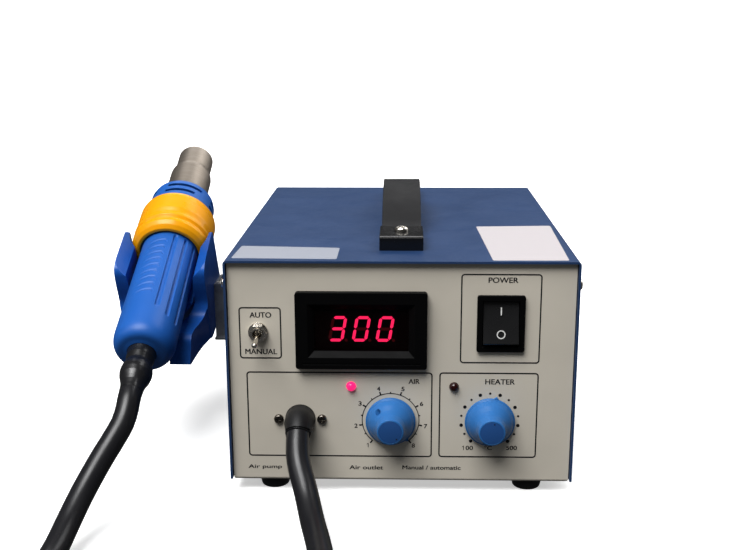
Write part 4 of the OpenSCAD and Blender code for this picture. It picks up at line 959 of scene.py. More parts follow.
def add_piece(
    name: str,
    shape: Shape,
    body: Optional[Body],
    finish: Finish,
    place: Matrix = CASE,
    stands_for: Sequence[str] = (),
    crease: float = 32.0,
) -> bpy.types.Object:
    """Turns a shape into a finished piece of the scene.

    Args:
        name: The piece's name.
        shape: Its mesh, which is freed.
        body: The body it rides on, or None, where it rides on none.
        finish: Its finish.
        place: The matrix that takes it to metres in the row frame.
        stands_for: CAD nodes that it is shown in place of.
        crease: Angle above which an edge stays sharp.

    Returns:
        The piece.
    """
    bmesh.ops.transform(shape, matrix=place, verts=shape.verts)
    mesh = mesh_of(name, shape)
    mesh.polygons.foreach_set("use_smooth", [True] * len(mesh.polygons))
    mesh.set_sharp_from_angle(angle=math.radians(crease))
    piece = placed(name, mesh)
    mesh.materials.append(finish.build())
    if body is not None:
        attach(piece, body.value)
    if stands_for:
        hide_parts(*stands_for)
    log.info("%s: %d faces", name, len(mesh.polygons))
    return piece


def keep_flat(piece: bpy.types.Object) -> None:
    """Keeps a piece's flat faces flat in the light beside their eased edges."""
    even = piece.modifiers.new("flat_faces_stay_flat", "WEIGHTED_NORMAL")
    even.keep_sharp, even.weight = True, 80


def ease(node: str, body: Body, finish: Finish, width: float, segments: int) -> None:
    """Shows a CAD node with its sharp edges eased, as moulding or pressing leaves them.

    Args:
        node: The node's name.
        body: The body it belongs to.
        finish: Its finish.
        width: Width of the eased edges in millimetres.
        segments: Segments of each eased edge.
    """
    shape = soften(cad_copy(node), width * MM, segments)
    keep_flat(add_piece(node + "_eased", shape, body, finish, ROW, [node], crease=40.0))


def dress(node: str, finish: Finish) -> None:
    """Gives a CAD node that stays as it is its finish.

    Args:
        node: The node's name.
        finish: Its finish.
    """
    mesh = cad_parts[node].data
    mesh.materials.clear()
    mesh.materials.append(finish.build())
    log.info("%s: CAD node with %s", node, finish.name)


@dataclass
class Assembly:
    """A sub-assembly: CAD nodes with eased edges, CAD nodes that stay as they are, and shapes of its own.

    A row of eased has the node, its finish, the width of its eased edges in millimetres and their segments.
    """

    body: Body = Body.STATION
    eased: Tuple[Tuple[str, Finish, float, int], ...] = ()
    plain: Tuple[Tuple[str, Finish], ...] = ()

    def build(self) -> None:
        """Dresses the CAD nodes and makes the shapes of the sub-assembly's own."""
        for node, finish, width, segments in self.eased:
            ease(node, self.body, finish, width, segments)
        for node, finish in self.plain:
            dress(node, finish)
        self.add_shapes()

    def add_shapes(self) -> None:
        """Makes the shapes that no CAD node gives, where a sub-assembly has them."""


# The studio


@dataclass
class Studio:
    """The camera, the floor and the lights.

    The camera stands in the case's frame. The lights and what they face are in metres in the row frame, as
    are the floor and the wall. Angles are in degrees, and powers in watts but for the sun's.
    """

    camera_at: Point = (0.65, -524.54, 258.47)
    yaw: float = -1.570
    pitch: float = 14.251
    roll: float = 0.154
    focal_px: float = 1032.83
    frame_px: float = 750.0
    sensor: float = 36.0
    seen: Flat = (0.05, 50.0)
    floor_size: float = 60.0
    floor_glow: float = 0.5
    wall_r: float = 27.0
    wall_h: float = 24.0
    wall_glow: float = 1.0
    sun_power: float = 3.2
    sun_spread: float = 40.0
    sun_turn: Point = (25.0, -13.0, 0.0)
    aim: Point = (0.0, -0.02, 0.07)
    boxes: Tuple[Tuple[str, Point, Flat, float], ...] = (
        ("left_box", (-0.95, -0.45, 0.85), (0.5, 1.0), 2.6),
        ("right_box", (0.85, 0.45, 0.90), (0.6, 1.2), 7.5),
        ("back_box", (0.0, 1.5, 1.5), (1.8, 0.7), 10.0),
        ("near_top", (-0.30, -0.40, 0.68), (0.30, 0.25), 0.9),
    )
    sky: str = "#f3f5f8"
    sky_power: float = 0.085
    gamma: float = 0.9

    def build(self) -> None:
        """Makes the camera, the floor, the lights and the sky."""
        self.add_camera()
        self.add_floor()
        self.add_lights()

    def add_camera(self) -> None:
        """Stands the camera where the photograph was taken from."""
        data = bpy.data.cameras.new("camera")
        data.sensor_width, data.sensor_fit = self.sensor, "HORIZONTAL"
        data.lens = self.focal_px / self.frame_px * self.sensor
        data.clip_start, data.clip_end = self.seen
        camera = placed("camera", data)
        camera.location = CASE @ Vector(self.camera_at)
        turn = Matrix.Identity(3)
        for degrees, axis in ((-self.yaw, "Z"), (90.0 - self.pitch, "X"), (-self.roll, "Z")):
            turn = turn @ Matrix.Rotation(math.radians(degrees), 3, axis)
        camera.rotation_euler = turn.to_euler()
        bpy.context.scene.camera = camera

    def add_floor(self) -> None:
        """Lays a plain pale floor, with a plain round wall far off that only the camera sees."""
        floor, wall = bmesh.new(), bmesh.new()
        bmesh.ops.create_grid(floor, x_segments=1, y_segments=1, size=self.floor_size / 2.0)
        self.stage_piece("floor", floor, "studio_floor_paint", self.floor_glow)
        bmesh.ops.create_cone(
            wall, cap_ends=False, segments=96, radius1=self.wall_r, radius2=self.wall_r, depth=self.wall_h
        )
        bmesh.ops.reverse_faces(wall, faces=wall.faces)
        moved(wall, (0.0, 0.0, self.wall_h / 2.0))
        self.stage_piece("backdrop", wall, "studio_wall_paint", self.wall_glow).visible_shadow = False

    def stage_piece(self, name: str, shape: Shape, paint: str, strength: float) -> bpy.types.Object:
        """Adds a piece of the studio that throws no colour back on the object.

        Args:
            name: Its name.
            shape: Its shape in metres.
            paint: Name of its paint.
            strength: How much light of its own keeps its shadows soft.

        Returns:
            The object.
        """
        finish = Finish(paint, "", "#fbfbfa", 0.85, strength=strength, **EVEN)
        piece = placed(name, mesh_of(name, shape))
        piece.data.materials.append(finish.build())
        piece.visible_diffuse = piece.visible_glossy = False
        return piece

    def add_lights(self) -> None:
        """Hangs a broad overhead light and four soft boxes that face the object, under a dim sky."""
        data = bpy.data.lights.new("overhead", "SUN")
        data.energy, data.angle = self.sun_power, math.radians(self.sun_spread)
        placed("overhead", data).rotation_euler = [math.radians(a) for a in self.sun_turn]
        for name, at, size, power in self.boxes:
            data = bpy.data.lights.new(name, "AREA")
            data.shape, data.size, data.size_y, data.energy = "RECTANGLE", *size, power
            light = placed(name, data)
            light.location = at
            light.rotation_euler = (Vector(self.aim) - Vector(at)).to_track_quat("-Z", "Y").to_euler()
        world = bpy.data.worlds.new("sky")
        world.use_nodes = True
        sky = world.node_tree.nodes["Background"]
        sky.inputs["Color"].default_value = linear(self.sky)
        sky.inputs["Strength"].default_value = self.sky_power
        bpy.context.scene.world = world
        view = bpy.context.scene.view_settings
        view.view_transform, view.gamma = "Standard", self.gamma


# The hose


@dataclass
class Hose:
    """The air hose: down from the outlet, one and a half turns on the bench, and up to the handpiece.

    Angles of the turns are in degrees, clockwise from the right-hand side; narrowing is where the outer
    turn starts to climb inside itself, and over how many degrees.
    """

    radius: float = 6.25
    coil_middle: Flat = (-106.0, -190.0)
    coil_z: float = 6.3
    outer_turn: float = 74.0
    inner_turn: float = 61.5
    coil_end: int = 525
    coil_step: int = 15
    narrowing: Flat = (270.0, 90.0)
    step: float = 4.0
    from_outlet: Tuple[Point, ...] = (
        (-54.8, -7.6, 43.0), (-54.8, -11.53, 40.22), (-54.8, -15.2, 36.9), (-54.2, -21, 31.7),
        (-52.4, -27, 26.4), (-49.9, -33, 21.3), (-47.2, -41, 15.6), (-44.2, -52, 10.6), (-41.2, -63, 7.9),
        (-38.4, -76, 6.7), (-35.4, -94, 6.3), (-33, -118, 6.3), (-32.1, -148, 6.3), (-32, -170, 6.3),
    )
    to_handpiece: Tuple[Point, ...] = (
        (-167.5, -190, 6.9), (-167.6, -179, 10.2), (-167.6, -166, 15.6), (-167.6, -153, 18.8),
        (-167.6, -140, 19), (-167.6, -127, 16.8), (-167.6, -115, 12.2), (-167.4, -103, 8.2), (-166.9, -92, 7),
        (-165.4, -80, 9.4), (-163.6, -66, 15.2), (-160.9, -54, 22.4), (-157.9, -45.5, 28.7),
        (-153.7, -36, 36.5), (-149.6, -28.6, 43.2), (-146, -21.5, 49.8), (-144.7, -16, 55.5),
        (-144.5, -11.6, 59.85), (-144.5, -8, 61.57),
    )
    bend_from: Point = (-114.0, -30.4, 20.9)
    bend_to: Point = (-144.5, -8.0, 61.57)

    def coil(self) -> List[Point]:
        """Gives the points of the turns.

        Returns:
            Points of one and a half turns.
        """
        points: List[Point] = []
        x, y = self.coil_middle
        start, over = self.narrowing
        for angle in range(0, self.coil_end + 1, self.coil_step):
            r = self.outer_turn - (self.outer_turn - self.inner_turn) * soft_step((angle - start) / over)
            a = math.radians(-angle)
            points.append((x + r * math.cos(a), y + r * math.sin(a), self.coil_z))
        return points

    def build(self) -> None:
        knots = [*self.from_outlet, *self.coil(), *self.to_handpiece]
        route = [CASE @ p for p in smooth_route(knots, self.step)]
        stands_for = ["hose_outlet_run", "hose_coil", "hose_handpiece_run"]
        hose = add_piece("air_hose", swept(route, self.radius * MM), None, HOSE_SKIN, ROW, stands_for, crease=60.0)
        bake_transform(hose)


# The case


@dataclass
class Case(Assembly):
    """The cover, the tray, the feet and their screws, and two blank labels on the top."""

    eased: Tuple = (
        ("cover", COVER_BLUE, 0.22, 2), ("tray", PANEL_BEIGE, 0.22, 2), ("cover_screws", NICKEL, 0.18, 2),
        ("feet", RUBBER, 0.7, 3), ("foot_screws", ZINC, 0.15, 2),
    )
    label_lift: float = 0.05
    label_depth: float = 0.12
    label_corner: float = 1.2
    silver_label: Tuple[Flat, ...] = ((-90.3, 6.0), (-34.1, 4.4), (-34.0, 31.2), (-88.9, 35.6))
    white_label: Tuple[Flat, ...] = ((48.1, 2.4), (87.9, 2.9), (90.2, 94.0), (45.1, 90.9))

    def add_shapes(self) -> None:
        """Lays the labels on the top of the cover."""
        labels = (("label_left", self.silver_label, LABEL_SILVER), ("label_right", self.white_label, LABEL_WHITE))
        for name, corners, finish in labels:
            shape = bmesh.new()
            shape.faces.new([shape.verts.new((x, y, TOP_Z + self.label_lift)) for x, y in corners])
            round_corners(shape, self.label_corner, segments=4)
            add_piece(name, thickened(shape, self.label_depth), self.body, finish)


@dataclass
class CarryHandle(Assembly):
    """The strap, its two end caps and their screws."""

    eased: Tuple = (
        ("carry_strap", STRAP_VINYL, 0.9, 4), ("strap_caps", CAP_ABS, 0.45, 3), ("strap_screws", NICKEL, 0.25, 2),
    )


# The front panel: shapes of its own are in the panel's frame, x across it, y up from the bench, z out of it


@dataclass
class DisplayUnit(Assembly):
    """The bezel, the tinted window and the three digits behind it.

    digits holds each digit's lit bars by their usual letters, a to g.
    """

    eased: Tuple = (("display_bezel", BLACK_ABS, 0.35, 3), ("display_window", WINDOW_RED, 0.15, 2))
    plain: Tuple = (("display_module", DIGIT_BLACK),)
    digits: Tuple[str, ...] = ("abcdg", "abcdef", "abcdef")
    middle: Flat = (-21.2, 94.5)
    digit_h: float = 14.2
    digit_w: float = 8.2
    pitch: float = 12.7
    slant: float = 10.0
    bar: float = 1.6
    bar_gap: float = 0.22
    bar_depth: float = 0.08
    dot_r: float = 0.85
    dot_off: Flat = (1.6, 0.8)
    face: float = -1.08

    def add_shapes(self) -> None:
        """Lights the digits, with a dark point after each; the unlit bars and the points get a faint painted glow."""
        lit, dark = [], []
        half_w, half_h = self.digit_w / 2, self.digit_h / 2
        for i, shown in enumerate(self.digits):
            at = (self.middle[0] + (i - 1) * self.pitch, self.middle[1])
            for name in "abcdefg":
                (lit if name in shown else dark).append(self.segment(name, at))
            point = (at[0] + half_w + self.dot_off[0] - self.lean(-half_h), at[1] - half_h + self.dot_off[1])
            dark.append(disc(point, self.dot_r, self.face, self.bar_depth))
        add_piece("digits_lit", joined(lit), self.body, SEGMENT_LIT, FRONT)
        add_piece("digits_unlit_painted_glow", joined(dark), self.body, SEGMENT_UNLIT_PAINTED_GLOW, FRONT)

    def lean(self, height: float) -> float:
        """Gives how far the digits lean sideways at a height above their middle."""
        return -height * math.tan(math.radians(self.slant))

    def segment(self, name: str, at: Flat) -> Shape:
        """Makes one bar of a digit.

        Args:
            name: The bar's usual letter, a to g.
            at: The digit's middle.

        Returns:
            The bar, facing +z.
        """
        half_w, half_h = (self.digit_w - self.bar) / 2, (self.digit_h - self.bar) / 2
        level = {"a": half_h, "g": 0.0, "d": -half_h}
        lying = name in level
        if lying:
            length, x, y = 2 * half_w, 0.0, level[name]
        else:
            length, x, y = half_h, half_w if name in "bc" else -half_w, half_h / 2 if name in "bf" else -half_h / 2
        run, half = length / 2 - self.bar_gap, self.bar / 2
        tip = run - half
        shape = bmesh.new()
        verts = []
        for u, v in ((-run, 0.0), (-tip, -half), (tip, -half), (run, 0.0), (tip, half), (-tip, half)):
            across, up = (x + u, y + v) if lying else (x - v, y + u)
            verts.append(shape.verts.new((at[0] + across - self.lean(up), at[1] + up, self.face)))
        shape.faces.new(verts)
        return thickened(shape, self.bar_depth)


@dataclass
class PowerSwitch(Assembly):
    """The switch frame, the rocker and its two marks, which lie on the rocker's two slopes."""

    eased: Tuple = (("power_switch_body", BLACK_ABS, 0.35, 3),)
    middle: Point = (53.0, 98.3, -2.2)
    tilt: float = -11.0
    mark_y: float = 6.2
    mark_z: float = 4.5
    mark_depth: float = 0.06
    line: Flat = (0.65, 4.2)
    line_tip: float = -2.1
    ring: Flat = (1.75, 2.35)

    def add_shapes(self) -> None:
        """Dresses the rocker and prints its marks."""
        ease("power_rocker", Body.ROCKER, ROCKER_NYLON, width=0.4, segments=3)
        at = (0.0, self.mark_y, self.mark_z)
        line = turned(block((*self.line, self.mark_depth), at), self.line_tip, "X", at)
        inner, outer = self.ring
        section = ((inner, 0.0), (outer, 0.0), (outer, self.mark_depth), (inner, self.mark_depth))
        ring = lathe(section, steps=32, closed=True)
        moved(ring, (0.0, -self.mark_y, self.mark_z - self.mark_depth / 2))
        place = FRONT @ Matrix.Translation(self.middle) @ Matrix.Rotation(math.radians(self.tilt), 4, "X")
        add_piece("rocker_marks", joined([line, ring]), Body.ROCKER, WHITE_INK, place)


@dataclass
class ToggleSwitch(Assembly):
    """The toggle switch's bush, nut and lever."""

    eased: Tuple = (("toggle_body", NICKEL, 0.2, 2), ("toggle_nut", NICKEL, 0.3, 3))
    plain: Tuple = (("toggle_lever", NICKEL),)


@dataclass
class Dials(Assembly):
    """The two knobs, their shafts, and what stands behind the panel.

    A row of knobs has the dial's name, its place across the panel, its clockwise turn from straight up in
    degrees, and its body. A row of the profile has radius, height and fillet.
    """

    plain: Tuple = (
        ("air_shaft", SHAFT_METAL), ("heater_shaft", SHAFT_METAL), ("dial_controls", CONTROL_METAL),
        ("dial_nuts", ZINC),
    )
    height: float = 42.8
    gap: float = 0.8
    knobs: Tuple[Tuple[str, float, float, Body], ...] = (
        ("air", -5.5, 139.0, Body.AIR), ("heater", 48.4, 14.0, Body.HEATER),
    )
    profile: Tuple[Point, ...] = (
        (7.6, 0.0, 0.0), (13.3, 0.0, 0.3), (13.6, 0.5, 0.3), (13.6, 1.7, 0.4), (12.7, 2.3, 0.3), (12.5, 3.2, 1.2),
        (11.3, 5.6, 3.0), (9.4, 8.2, 3.0), (8.0, 10.6, 3.0), (7.5, 13.4, 2.0), (7.15, 16.3, 0.5), (6.4, 16.6, 0.2),
        (6.3, 16.42, 0.1), (0.0, 16.42, 0.0),
    )
    well: Flat = (7.6, 4.0)
    hole_r: float = 1.6
    hole_at: Point = (0.0, -11.0, 7.0)
    hole_depth: float = 10.0
    pointer: Point = (2.2, 2.2, 1.5)
    pointer_at: Point = (0.0, 13.3, 0.95)
    face: Tuple[Point, ...] = ((0.0, 16.44, 0.0), (6.2, 16.44, 0.1), (6.2, 16.60, 0.1), (0.0, 16.60, 0.0))
    dot_at: Flat = (0.0, 5.1)
    dot_r: float = 0.42
    dot_z: Flat = (16.56, 0.06)

    def add_shapes(self) -> None:
        """Makes each knob: the domed skirt, its pointer, the grub screw's hole, and the face disc."""
        for name, x, turn, body in self.knobs:
            whole = lathe([(0.0, self.well[1]), self.well, *rounded(self.profile, steps=6)], steps=128)
            hole = turned(disc((0.0, 0.0), self.hole_r, -self.hole_depth / 2, self.hole_depth), 90.0, "X")
            whole = carve(whole, moved(hole, self.hole_at))
            pointer = moved(turned(block(self.pointer, (0.0, 0.0, 0.0)), 45.0, "Z"), self.pointer_at)
            whole = carve(whole, pointer, Cut.JOIN)
            middle = Matrix.Translation((x, self.height, self.gap))
            place = FRONT @ middle @ Matrix.Rotation(math.radians(-turn), 4, "Z")
            add_piece(name + "_knob_shell", whole, body, KNOB_BLUE, place, [name + "_knob"], crease=38.0)
            add_piece(name + "_knob_face", lathe(rounded(self.face, steps=3)), body, KNOB_DISC, place)
            add_piece(name + "_knob_dot", disc(self.dot_at, self.dot_r, *self.dot_z), body, MARK_DARK, place)


@dataclass
class Lamps(Assembly):
    """The lit air lamp and the dark heater lamp."""

    plain: Tuple = (("air_lamp", LAMP_PINK), ("heater_lamp", LAMP_RED))


@dataclass
class Outlet(Assembly):
    """The hose outlet's rubber elbow and its two screws.

    A row of the lip has a distance back from the elbow's end, and a share of its radius there.
    """

    eased: Tuple = (("outlet_screws_pair", DARK_STEEL, 0.2, 2),)
    middle: Flat = (-54.8, 43.3)
    root: float = 0.4
    straight: float = 6.0
    straight_steps: int = 5
    bend_r: float = 12.0
    turn: float = 42.0
    steps: int = 18
    radius: float = 8.2
    end_share: float = 0.84
    lip: Tuple[Flat, ...] = ((0.62, 1.0), (0.3, 0.985), (0.1, 0.95), (0.0, 0.90))
    flange_y: float = 0.3

    def add_shapes(self) -> None:
        """Sweeps the elbow, and keeps the CAD node's flange behind the panel."""
        x, z = self.middle
        start, pitch = PANEL_Y + self.root, (self.straight + self.root) / self.straight_steps
        route = [Vector((x, start - pitch * i, z)) for i in range(self.straight_steps)]
        swell = [1.0] * len(route)
        for t in (i / self.steps for i in range(self.steps + 1)):
            a = math.radians(self.turn) * t
            y = PANEL_Y - self.straight - self.bend_r * math.sin(a)
            route.append(Vector((x, y, z - self.bend_r * (1 - math.cos(a)))))
            swell.append(1.0 - (1.0 - self.end_share) * soft_step(t))
        end, last = route.pop(), swell.pop()
        outward = (end - route[-1]).normalized()
        for back, share in self.lip:
            route.append(end - outward * back)
            swell.append(last * share)
        flange = cad_copy("outlet_sleeve")
        wall = CASE @ Vector((0.0, PANEL_Y + self.flange_y, 0.0))
        whole = [*flange.verts, *flange.edges, *flange.faces]
        bmesh.ops.bisect_plane(flange, geom=whole, plane_co=wall, plane_no=(0, -1, 0), clear_outer=True)
        bmesh.ops.holes_fill(flange, edges=[e for e in flange.edges if e.is_boundary])
        bmesh.ops.transform(flange, matrix=CASE.inverted(), verts=flange.verts)
        sleeve = joined([swept(route, self.radius, swell), flange])
        add_piece("outlet_elbow", sleeve, self.body, RUBBER, CASE, ["outlet_sleeve"], crease=50.0)


@dataclass
class PanelPrint:
    """What is printed on the panel: frames, plain words, and the two dials' scales.

    A frame has its lower left and upper right corner, and a word its middle and its size. Angles are in
    degrees, clockwise from straight up.
    """

    line: float = 0.7
    corner: float = 1.9
    frames: Tuple[Tuple[Flat, Flat], ...] = (
        ((-86.75, 77.85), (-64.05, 106.65)), ((31.6, 75.9), (74.2, 125.4)), ((-83.65, 21.25), (17.15, 70.5)),
        ((20.75, 21.35), (74.15, 70.6)),
    )
    words: Tuple[Tuple[str, Flat, Flat], ...] = (
        ("AUTO", (-75.15, 102.3), (11.5, 2.9)), ("MANUAL", (-75.3, 81.8), (17.0, 2.9)),
        ("POWER", (53.7, 122.0), (15.5, 2.9)), ("AIR", (7.1, 65.3), (5.9, 2.7)),
        ("HEATER", (53.4, 65.4), (15.8, 2.9)), ("00", (37.6, 26.9), (3.9, 2.4)), ("500", (60.7, 27.1), (5.8, 2.4)),
        ("°C", (47.9, 27.0), (3.9, 2.4)), ("Air pump", (-75.0, 14.6), (18.5, 2.7)),
        ("Air outlet", (-19.0, 14.8), (18.5, 2.3)), ("Manual / automatic", (17.0, 15.0), (32.0, 2.3)),
    )
    first_figure: Flat = (34.4, 26.9)
    figure: Flat = (1.6, 2.4)
    air_middle: Flat = (-5.5, 42.8)
    heater_middle: Flat = (48.4, 43.0)
    sweep: float = 140.0
    scale_r: float = 15.5
    arc_half: float = 0.22
    figure_r: float = 19.3
    air_marks: int = 8
    air_pitch: float = 40.0
    tick_root: float = 0.2
    long_tick: Flat = (1.9, 0.75)
    short_tick: Flat = (0.9, 0.6)
    dots_r: float = 15.65
    dots: int = 15
    dots_pitch: float = 20.0
    big_dot: float = 0.95
    small_dot: float = 0.62

    def build(self) -> None:
        """Prints everything in one ink."""
        ink = [outline(low, high, self.corner, self.line) for low, high in self.frames]
        ink += [word(text, centre, size) for text, centre, size in self.words]
        ink.append(figure_one(self.first_figure, self.figure[1]))
        dots = []
        for i in range(self.dots):
            at = self.polar(self.heater_middle, self.dots_r, self.dots_pitch * i - self.sweep)
            dots.append(disc(at, self.small_dot if i % 2 else self.big_dot))
        prints = (("panel_frames_and_words", ink), ("air_scale", self.air_scale()), ("heater_scale", dots))
        for name, shapes in prints:
            add_piece(name, joined(shapes), Body.STATION, INK, FRONT)

    def polar(self, middle: Flat, radius: float, angle: float) -> Flat:
        """Gives the point at a radius and an angle."""
        a = math.radians(angle)
        return middle[0] + radius * math.sin(a), middle[1] + radius * math.cos(a)

    def tick(self, angle: float, size: Flat) -> Shape:
        """Makes one tick of the air scale.

        Args:
            angle: Its angle.
            size: Its reach past the arc, and its width.

        Returns:
            The tick.
        """
        inner, outer = self.scale_r - self.tick_root, self.scale_r + size[0]
        at = (0.0, (inner + outer) / 2, INK_LIFT + INK_DEPTH / 2)
        mark = turned(block((size[1], outer - inner, INK_DEPTH), at), -angle, "Z")
        return moved(mark, (*self.air_middle, 0.0))

    def air_scale(self) -> List[Shape]:
        """Makes the air dial's arc, its long and short ticks, and its figures.

        Returns:
            The pieces of the scale.
        """
        arc = bmesh.new()
        ends = [arc.verts.new((0.0, self.scale_r + d, INK_LIFT)) for d in (-self.arc_half, self.arc_half)]
        edge = arc.edges.new(ends)
        spun(turned(arc, self.sweep, "Z"), [*ends, edge], -2 * self.sweep, steps=96)
        made = [thickened(moved(arc, (*self.air_middle, 0.0)), INK_DEPTH)]
        for i in range(self.air_marks):
            angle = self.air_pitch * i - self.sweep
            made.append(self.tick(angle, self.long_tick))
            if i < self.air_marks - 1:
                made.append(self.tick(angle + self.air_pitch / 2, self.short_tick))
            at = self.polar(self.air_middle, self.figure_r, angle)
            made.append(word(str(i + 1), at, self.figure) if i else figure_one(at, self.figure[1]))
        return made


# The back, and what is inside the case


@dataclass
class RearFittings(Assembly):
    """The mains inlet, the fuse holder and the inlet's screws."""

    eased: Tuple = (
        ("mains_inlet", BLACK_ABS, 0.3, 2), ("fuse_holder", BLACK_ABS, 0.35, 2), ("rear_screws", NICKEL, 0.2, 2),
    )


@dataclass
class Internals(Assembly):
    """The air pump, the transformer and the control board, which the closed case hides."""

    plain: Tuple = (
        ("pump_mounts", RUBBER), ("pump_frame", ZINC), ("pump_core", LAMINATION), ("pump_coils", COPPER_WIRE),
        ("pump_armature", MAGNET), ("pump_diaphragms", RUBBER), ("pump_heads", HEAD_PLASTIC),
        ("pump_tube", CLEAR_TUBE), ("transformer_core", LAMINATION), ("transformer_coil", TAPE),
        ("control_board", BOARD_GREEN), ("board_posts", BRASS), ("heat_sink", ALUMINIUM),
    )


# The cradle and the handpiece


@dataclass
class Cradle(Assembly):
    """The cradle, its magnet, the bracket and the bracket's screws.

    The clearing is what lies in front of the walls' rim, where the trough stays hidden. Its points are in
    the handpiece's frame: minus the height above the axis, and the place along it.
    """

    eased: Tuple = (("bracket", BRACKET_ZINC, 0.25, 2), ("bracket_screws", NICKEL, 0.25, 2))
    plain: Tuple = (("cradle_magnet", MAGNET),)
    clearing: Tuple[Flat, ...] = (
        (-5.0, -66.0), (9.5, -66.0), (12.6, -66.9), (15.6, -68.6), (17.7, -71.0), (18.1, -73.2), (17.1, -79.0),
        (14.1, -86.8), (12.9, -92.1), (14.8, -96.7), (19.6, -100.2), (23.6, -104.2), (23.6, -112.0), (-5.0, -112.0),
    )
    reach: float = 40.0
    edge: float = 0.8
    edge_above: float = 35.0

    def add_shapes(self) -> None:
        """Eases the cradle's edges and cuts the clearing from it."""
        shape = soften(cad_copy("cradle"), self.edge * MM, segments=3, above=self.edge_above)
        bmesh.ops.transform(shape, matrix=HAND.inverted(), verts=shape.verts)
        above = bmesh.new()
        above.faces.new([above.verts.new((-self.reach / 2, y, z)) for y, z in self.clearing])
        shape = carve(shape, thickened(above, self.reach, axis=0))
        keep_flat(add_piece("cradle_moulded", shape, self.body, CRADLE_BLUE, HAND, ["cradle"], crease=40.0))


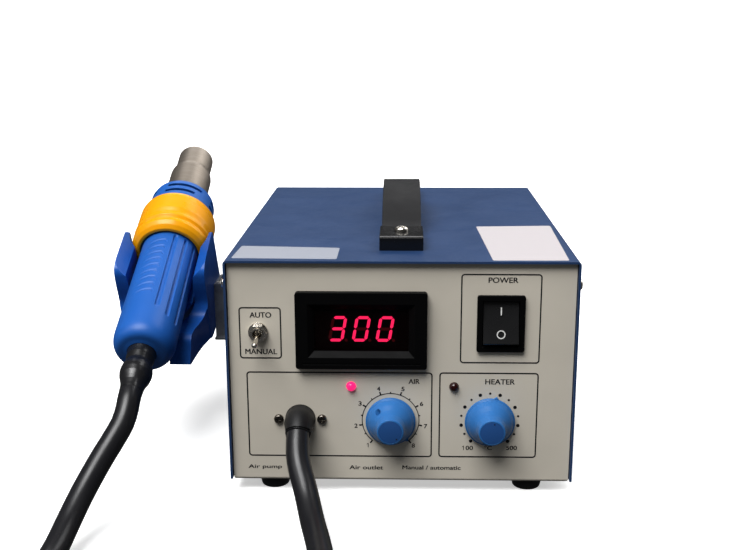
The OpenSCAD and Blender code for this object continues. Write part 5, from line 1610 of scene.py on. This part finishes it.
@dataclass
class Handpiece(Assembly):
    """The handpiece, in its own frame: z runs along the axis to the nozzle, from the ring's upper edge.

    A row of the ring, the tube and the boot has radius, height and fillet. The grip's relief is three
    grooves, each with its angle in degrees from the upward side towards +x and its lower end, and a row of
    pressed arcs on the upward side.
    """

    body: Body = Body.HANDPIECE
    eased: Tuple = (("vent_collar", HANDLE_BLUE, 0.3, 2),)
    plain: Tuple = (("heat_shield", MICA), ("heater_core", CERAMIC), ("reed_board", BOARD_GREEN))
    end_r: float = 17.6
    shoulder: float = -110.5
    dome: float = -111.0
    face_depth: float = 14.0
    face_rows: int = 60
    squareness: float = 3.1
    hollow: float = 1.1
    hollow_r: float = 15.2
    hollow_slope: float = 5.5
    bore: float = 8.3
    grip_top: float = -34.0
    top_r: float = 17.2
    seat_r: float = 18.7
    seat: Flat = (-32.0, -6.2)
    wall: float = 2.3
    end_wall: float = 4.6
    inner_rows: int = 8
    sides: int = 264
    row: float = 0.5
    pressed_top: float = -34.4
    pressed_r: float = 16.6
    grooves: Tuple[Flat, ...] = ((22.0, -99.0), (46.0, -103.0), (70.0, -104.0))
    groove_top: float = -36.2
    groove_w: float = 2.7
    groove_d: float = 1.05
    groove_slope: float = 0.45
    arcs: int = 9
    arc_low: float = -90.5
    arc_pitch: float = 5.8
    arc_top: float = -37.5
    arc_off: float = 0.6
    arc_d: float = 0.42
    arc_w: float = 0.8
    arc_slope: float = 0.5
    arc_rise: float = 3.1
    arc_reach: float = 12.0
    arc_fall: float = 0.75
    arc_ends: Flat = (-11.8, 1.9)
    arc_fades: Flat = (4.0, 0.4)
    ring: Tuple[Point, ...] = (
        (18.4, -31.7, 0.0), (18.2, -34.1, 0.4), (18.9, -34.5, 0.4), (20.4, -34.4, 0.8), (22.6, -32.4, 2.4),
        (24.1, -29.8, 2.4), (24.2, -27.8, 1.4), (23.0, -26.2, 1.0), (22.9, -25.4, 0.7), (24.2, -23.9, 0.9),
        (24.3, -22.2, 0.9), (22.9, -20.4, 1.0), (23.1, -19.0, 1.4), (24.1, -16.0, 3.0), (24.0, -3.0, 3.0),
        (23.5, -0.9, 0.9), (22.8, 0.0, 0.8), (21.6, 0.0, 0.3), (21.3, -0.6, 0.3), (21.3, -30.2, 0.2),
        (19.2, -31.0, 0.2), (18.4, -31.7, 0.0),
    )
    tube: Tuple[Point, ...] = (
        (17.2, -1.0, 0.0), (17.2, 0.0, 0.2), (13.6, 0.0, 0.2), (13.6, 48.6, 2.0), (13.1, 51.2, 1.6),
        (11.9, 52.6, 0.8), (11.7, 54.6, 0.8), (11.7, 71.4, 0.5), (11.4, 72.0, 0.3), (11.0, 71.7, 0.3),
        (10.9, 70.5, 0.3), (10.9, 53.6, 0.5), (12.3, 51.2, 1.0), (12.8, 49.6, 1.0), (12.8, -1.0, 0.0),
    )
    boot: Tuple[Point, ...] = (
        (0.0, -120.0, 0.0), (9.9, -120.0, 0.4), (9.9, -122.2, 0.4), (8.1, -122.6, 0.3), (7.9, -127.4, 1.0),
        (7.2, -131.0, 0.8), (7.4, -132.3, 0.8), (8.3, -134.4, 1.6), (8.8, -137.2, 2.2), (8.85, -139.4, 2.2),
        (8.3, -142.4, 2.4), (7.4, -145.0, 2.4), (6.7, -147.4, 2.2), (6.35, -150.0, 1.5), (6.25, -152.5, 0.1),
        (0.0, -152.5, 0.0),
    )

    def add_shapes(self) -> None:
        """Makes the barrel, and turns the yellow ring, the steel tube with its rolled mouth, and the boot."""
        self.add_barrel()
        ring = lathe(rounded(self.ring)[:-1], steps=144, closed=True)
        tube = lathe(rounded(self.tube), steps=128, closed=True)
        for name, shape, finish, node, crease in (
            ("grip_ring_turned", ring, RING_YELLOW, "grip_ring", 45.0),
            ("heater_tube_turned", tube, TUBE_STEEL, "heater_tube", 40.0),
            ("hose_boot_moulded", lathe(rounded(self.boot, steps=6)), BOOT_RUBBER, "hose_boot", 45.0),
        ):
            add_piece(name, shape, self.body, finish, HAND, [node], crease)

    def barrel_profile(self) -> List[Flat]:
        """Gives the barrel's closed profile: a fine outer line and a coarse inner one.

        Returns:
            Radius and height of each point.
        """
        power = 2.0 / self.squareness
        start = math.asin((self.bore / self.end_r) ** (1.0 / power))
        outer: List[Flat] = []
        for i in range(self.face_rows + 1):
            a = start + (math.pi / 2 - start) * i / self.face_rows
            radius = self.end_r * math.sin(a) ** power
            sunk = self.hollow * soft_step((self.hollow_r - radius) / self.hollow_slope)
            outer.append((radius, self.shoulder + sunk - self.face_depth * max(math.cos(a), 0.0) ** power))
        grip = self.grip_top - self.shoulder
        rows = int(grip / self.row)
        for t in (i / rows for i in range(1, rows + 1)):
            outer.append((self.end_r + (self.top_r - self.end_r) * t, self.shoulder + grip * t))
        outer += [(self.seat_r, height) for height in self.seat]
        inner_top, inner_low = self.top_r - self.wall, self.end_r - self.wall
        inner = [(inner_top, self.seat[1]), (inner_top, self.dome)]
        begin = math.asin(self.bore / inner_low)
        for i in range(self.inner_rows + 1):
            a = math.pi / 2 + (begin - math.pi / 2) * i / self.inner_rows
            deep = min(inner_low * math.cos(a), self.face_depth - self.end_wall)
            inner.append((min(inner_low * math.sin(a), inner_top), self.dome - deep))
        return outer + inner

    def pressed(self, angle: float, height: float) -> float:
        """Gives how deep the grip's surface lies below the round at a place.

        Args:
            angle: Angle from the upward side towards +x.
            height: Place along the axis.

        Returns:
            The depth.
        """
        around = angle * self.end_r
        depth = 0.0
        for middle, low in self.grooves:
            past = max(low - height, height - self.groove_top, 0.0)
            edge = self.groove_w / 2 - math.hypot(around - math.radians(middle) * self.end_r, past)
            depth = max(depth, self.groove_d * held(edge / self.groove_slope))
        u = around - self.arc_off
        (left, right), (left_fade, right_fade) = self.arc_ends, self.arc_fades
        fade = held((u - left) / left_fade) * held((right - u) / right_fade)
        if fade > 0.0 and height < self.arc_top:
            crest = self.arc_rise - (self.arc_rise * (u / self.arc_reach) ** 2 if u < 0 else self.arc_fall * u * u)
            for i in range(self.arcs):
                off = abs(height - self.arc_low - self.arc_pitch * i - crest)
                depth = max(depth, self.arc_d * fade * held((self.arc_w - off) / self.arc_slope))
        return depth

    def add_barrel(self) -> None:
        """Turns the barrel finely and presses the grip's relief into it."""
        shape = lathe(self.barrel_profile(), self.sides, closed=True)
        for co in (vert.co for vert in shape.verts):
            r = math.hypot(co.x, co.y)
            if self.dome < co.z < self.pressed_top and r > self.pressed_r:
                co.xy *= (r - self.pressed(math.atan2(co.x, -co.y), co.z)) / r
        bmesh.ops.recalc_face_normals(shape, faces=shape.faces)
        add_piece("barrel_shell", shape, self.body, HANDLE_BLUE, HAND, ["barrel"], crease=50.0)


def main() -> None:
    """Builds the studio, the hose and then each sub-assembly, and reports them."""
    logging.basicConfig(level=logging.INFO, format="%(name)s %(message)s")
    for assembly in (
        Studio(), Hose(), Case(), CarryHandle(), DisplayUnit(), PowerSwitch(), ToggleSwitch(), Dials(), Lamps(),
        Outlet(), PanelPrint(), RearFittings(), Internals(), Cradle(), Handpiece(),
    ):
        assembly.build()
        log.info("%s done", type(assembly).__name__)


if __name__ == "__main__":
    main()
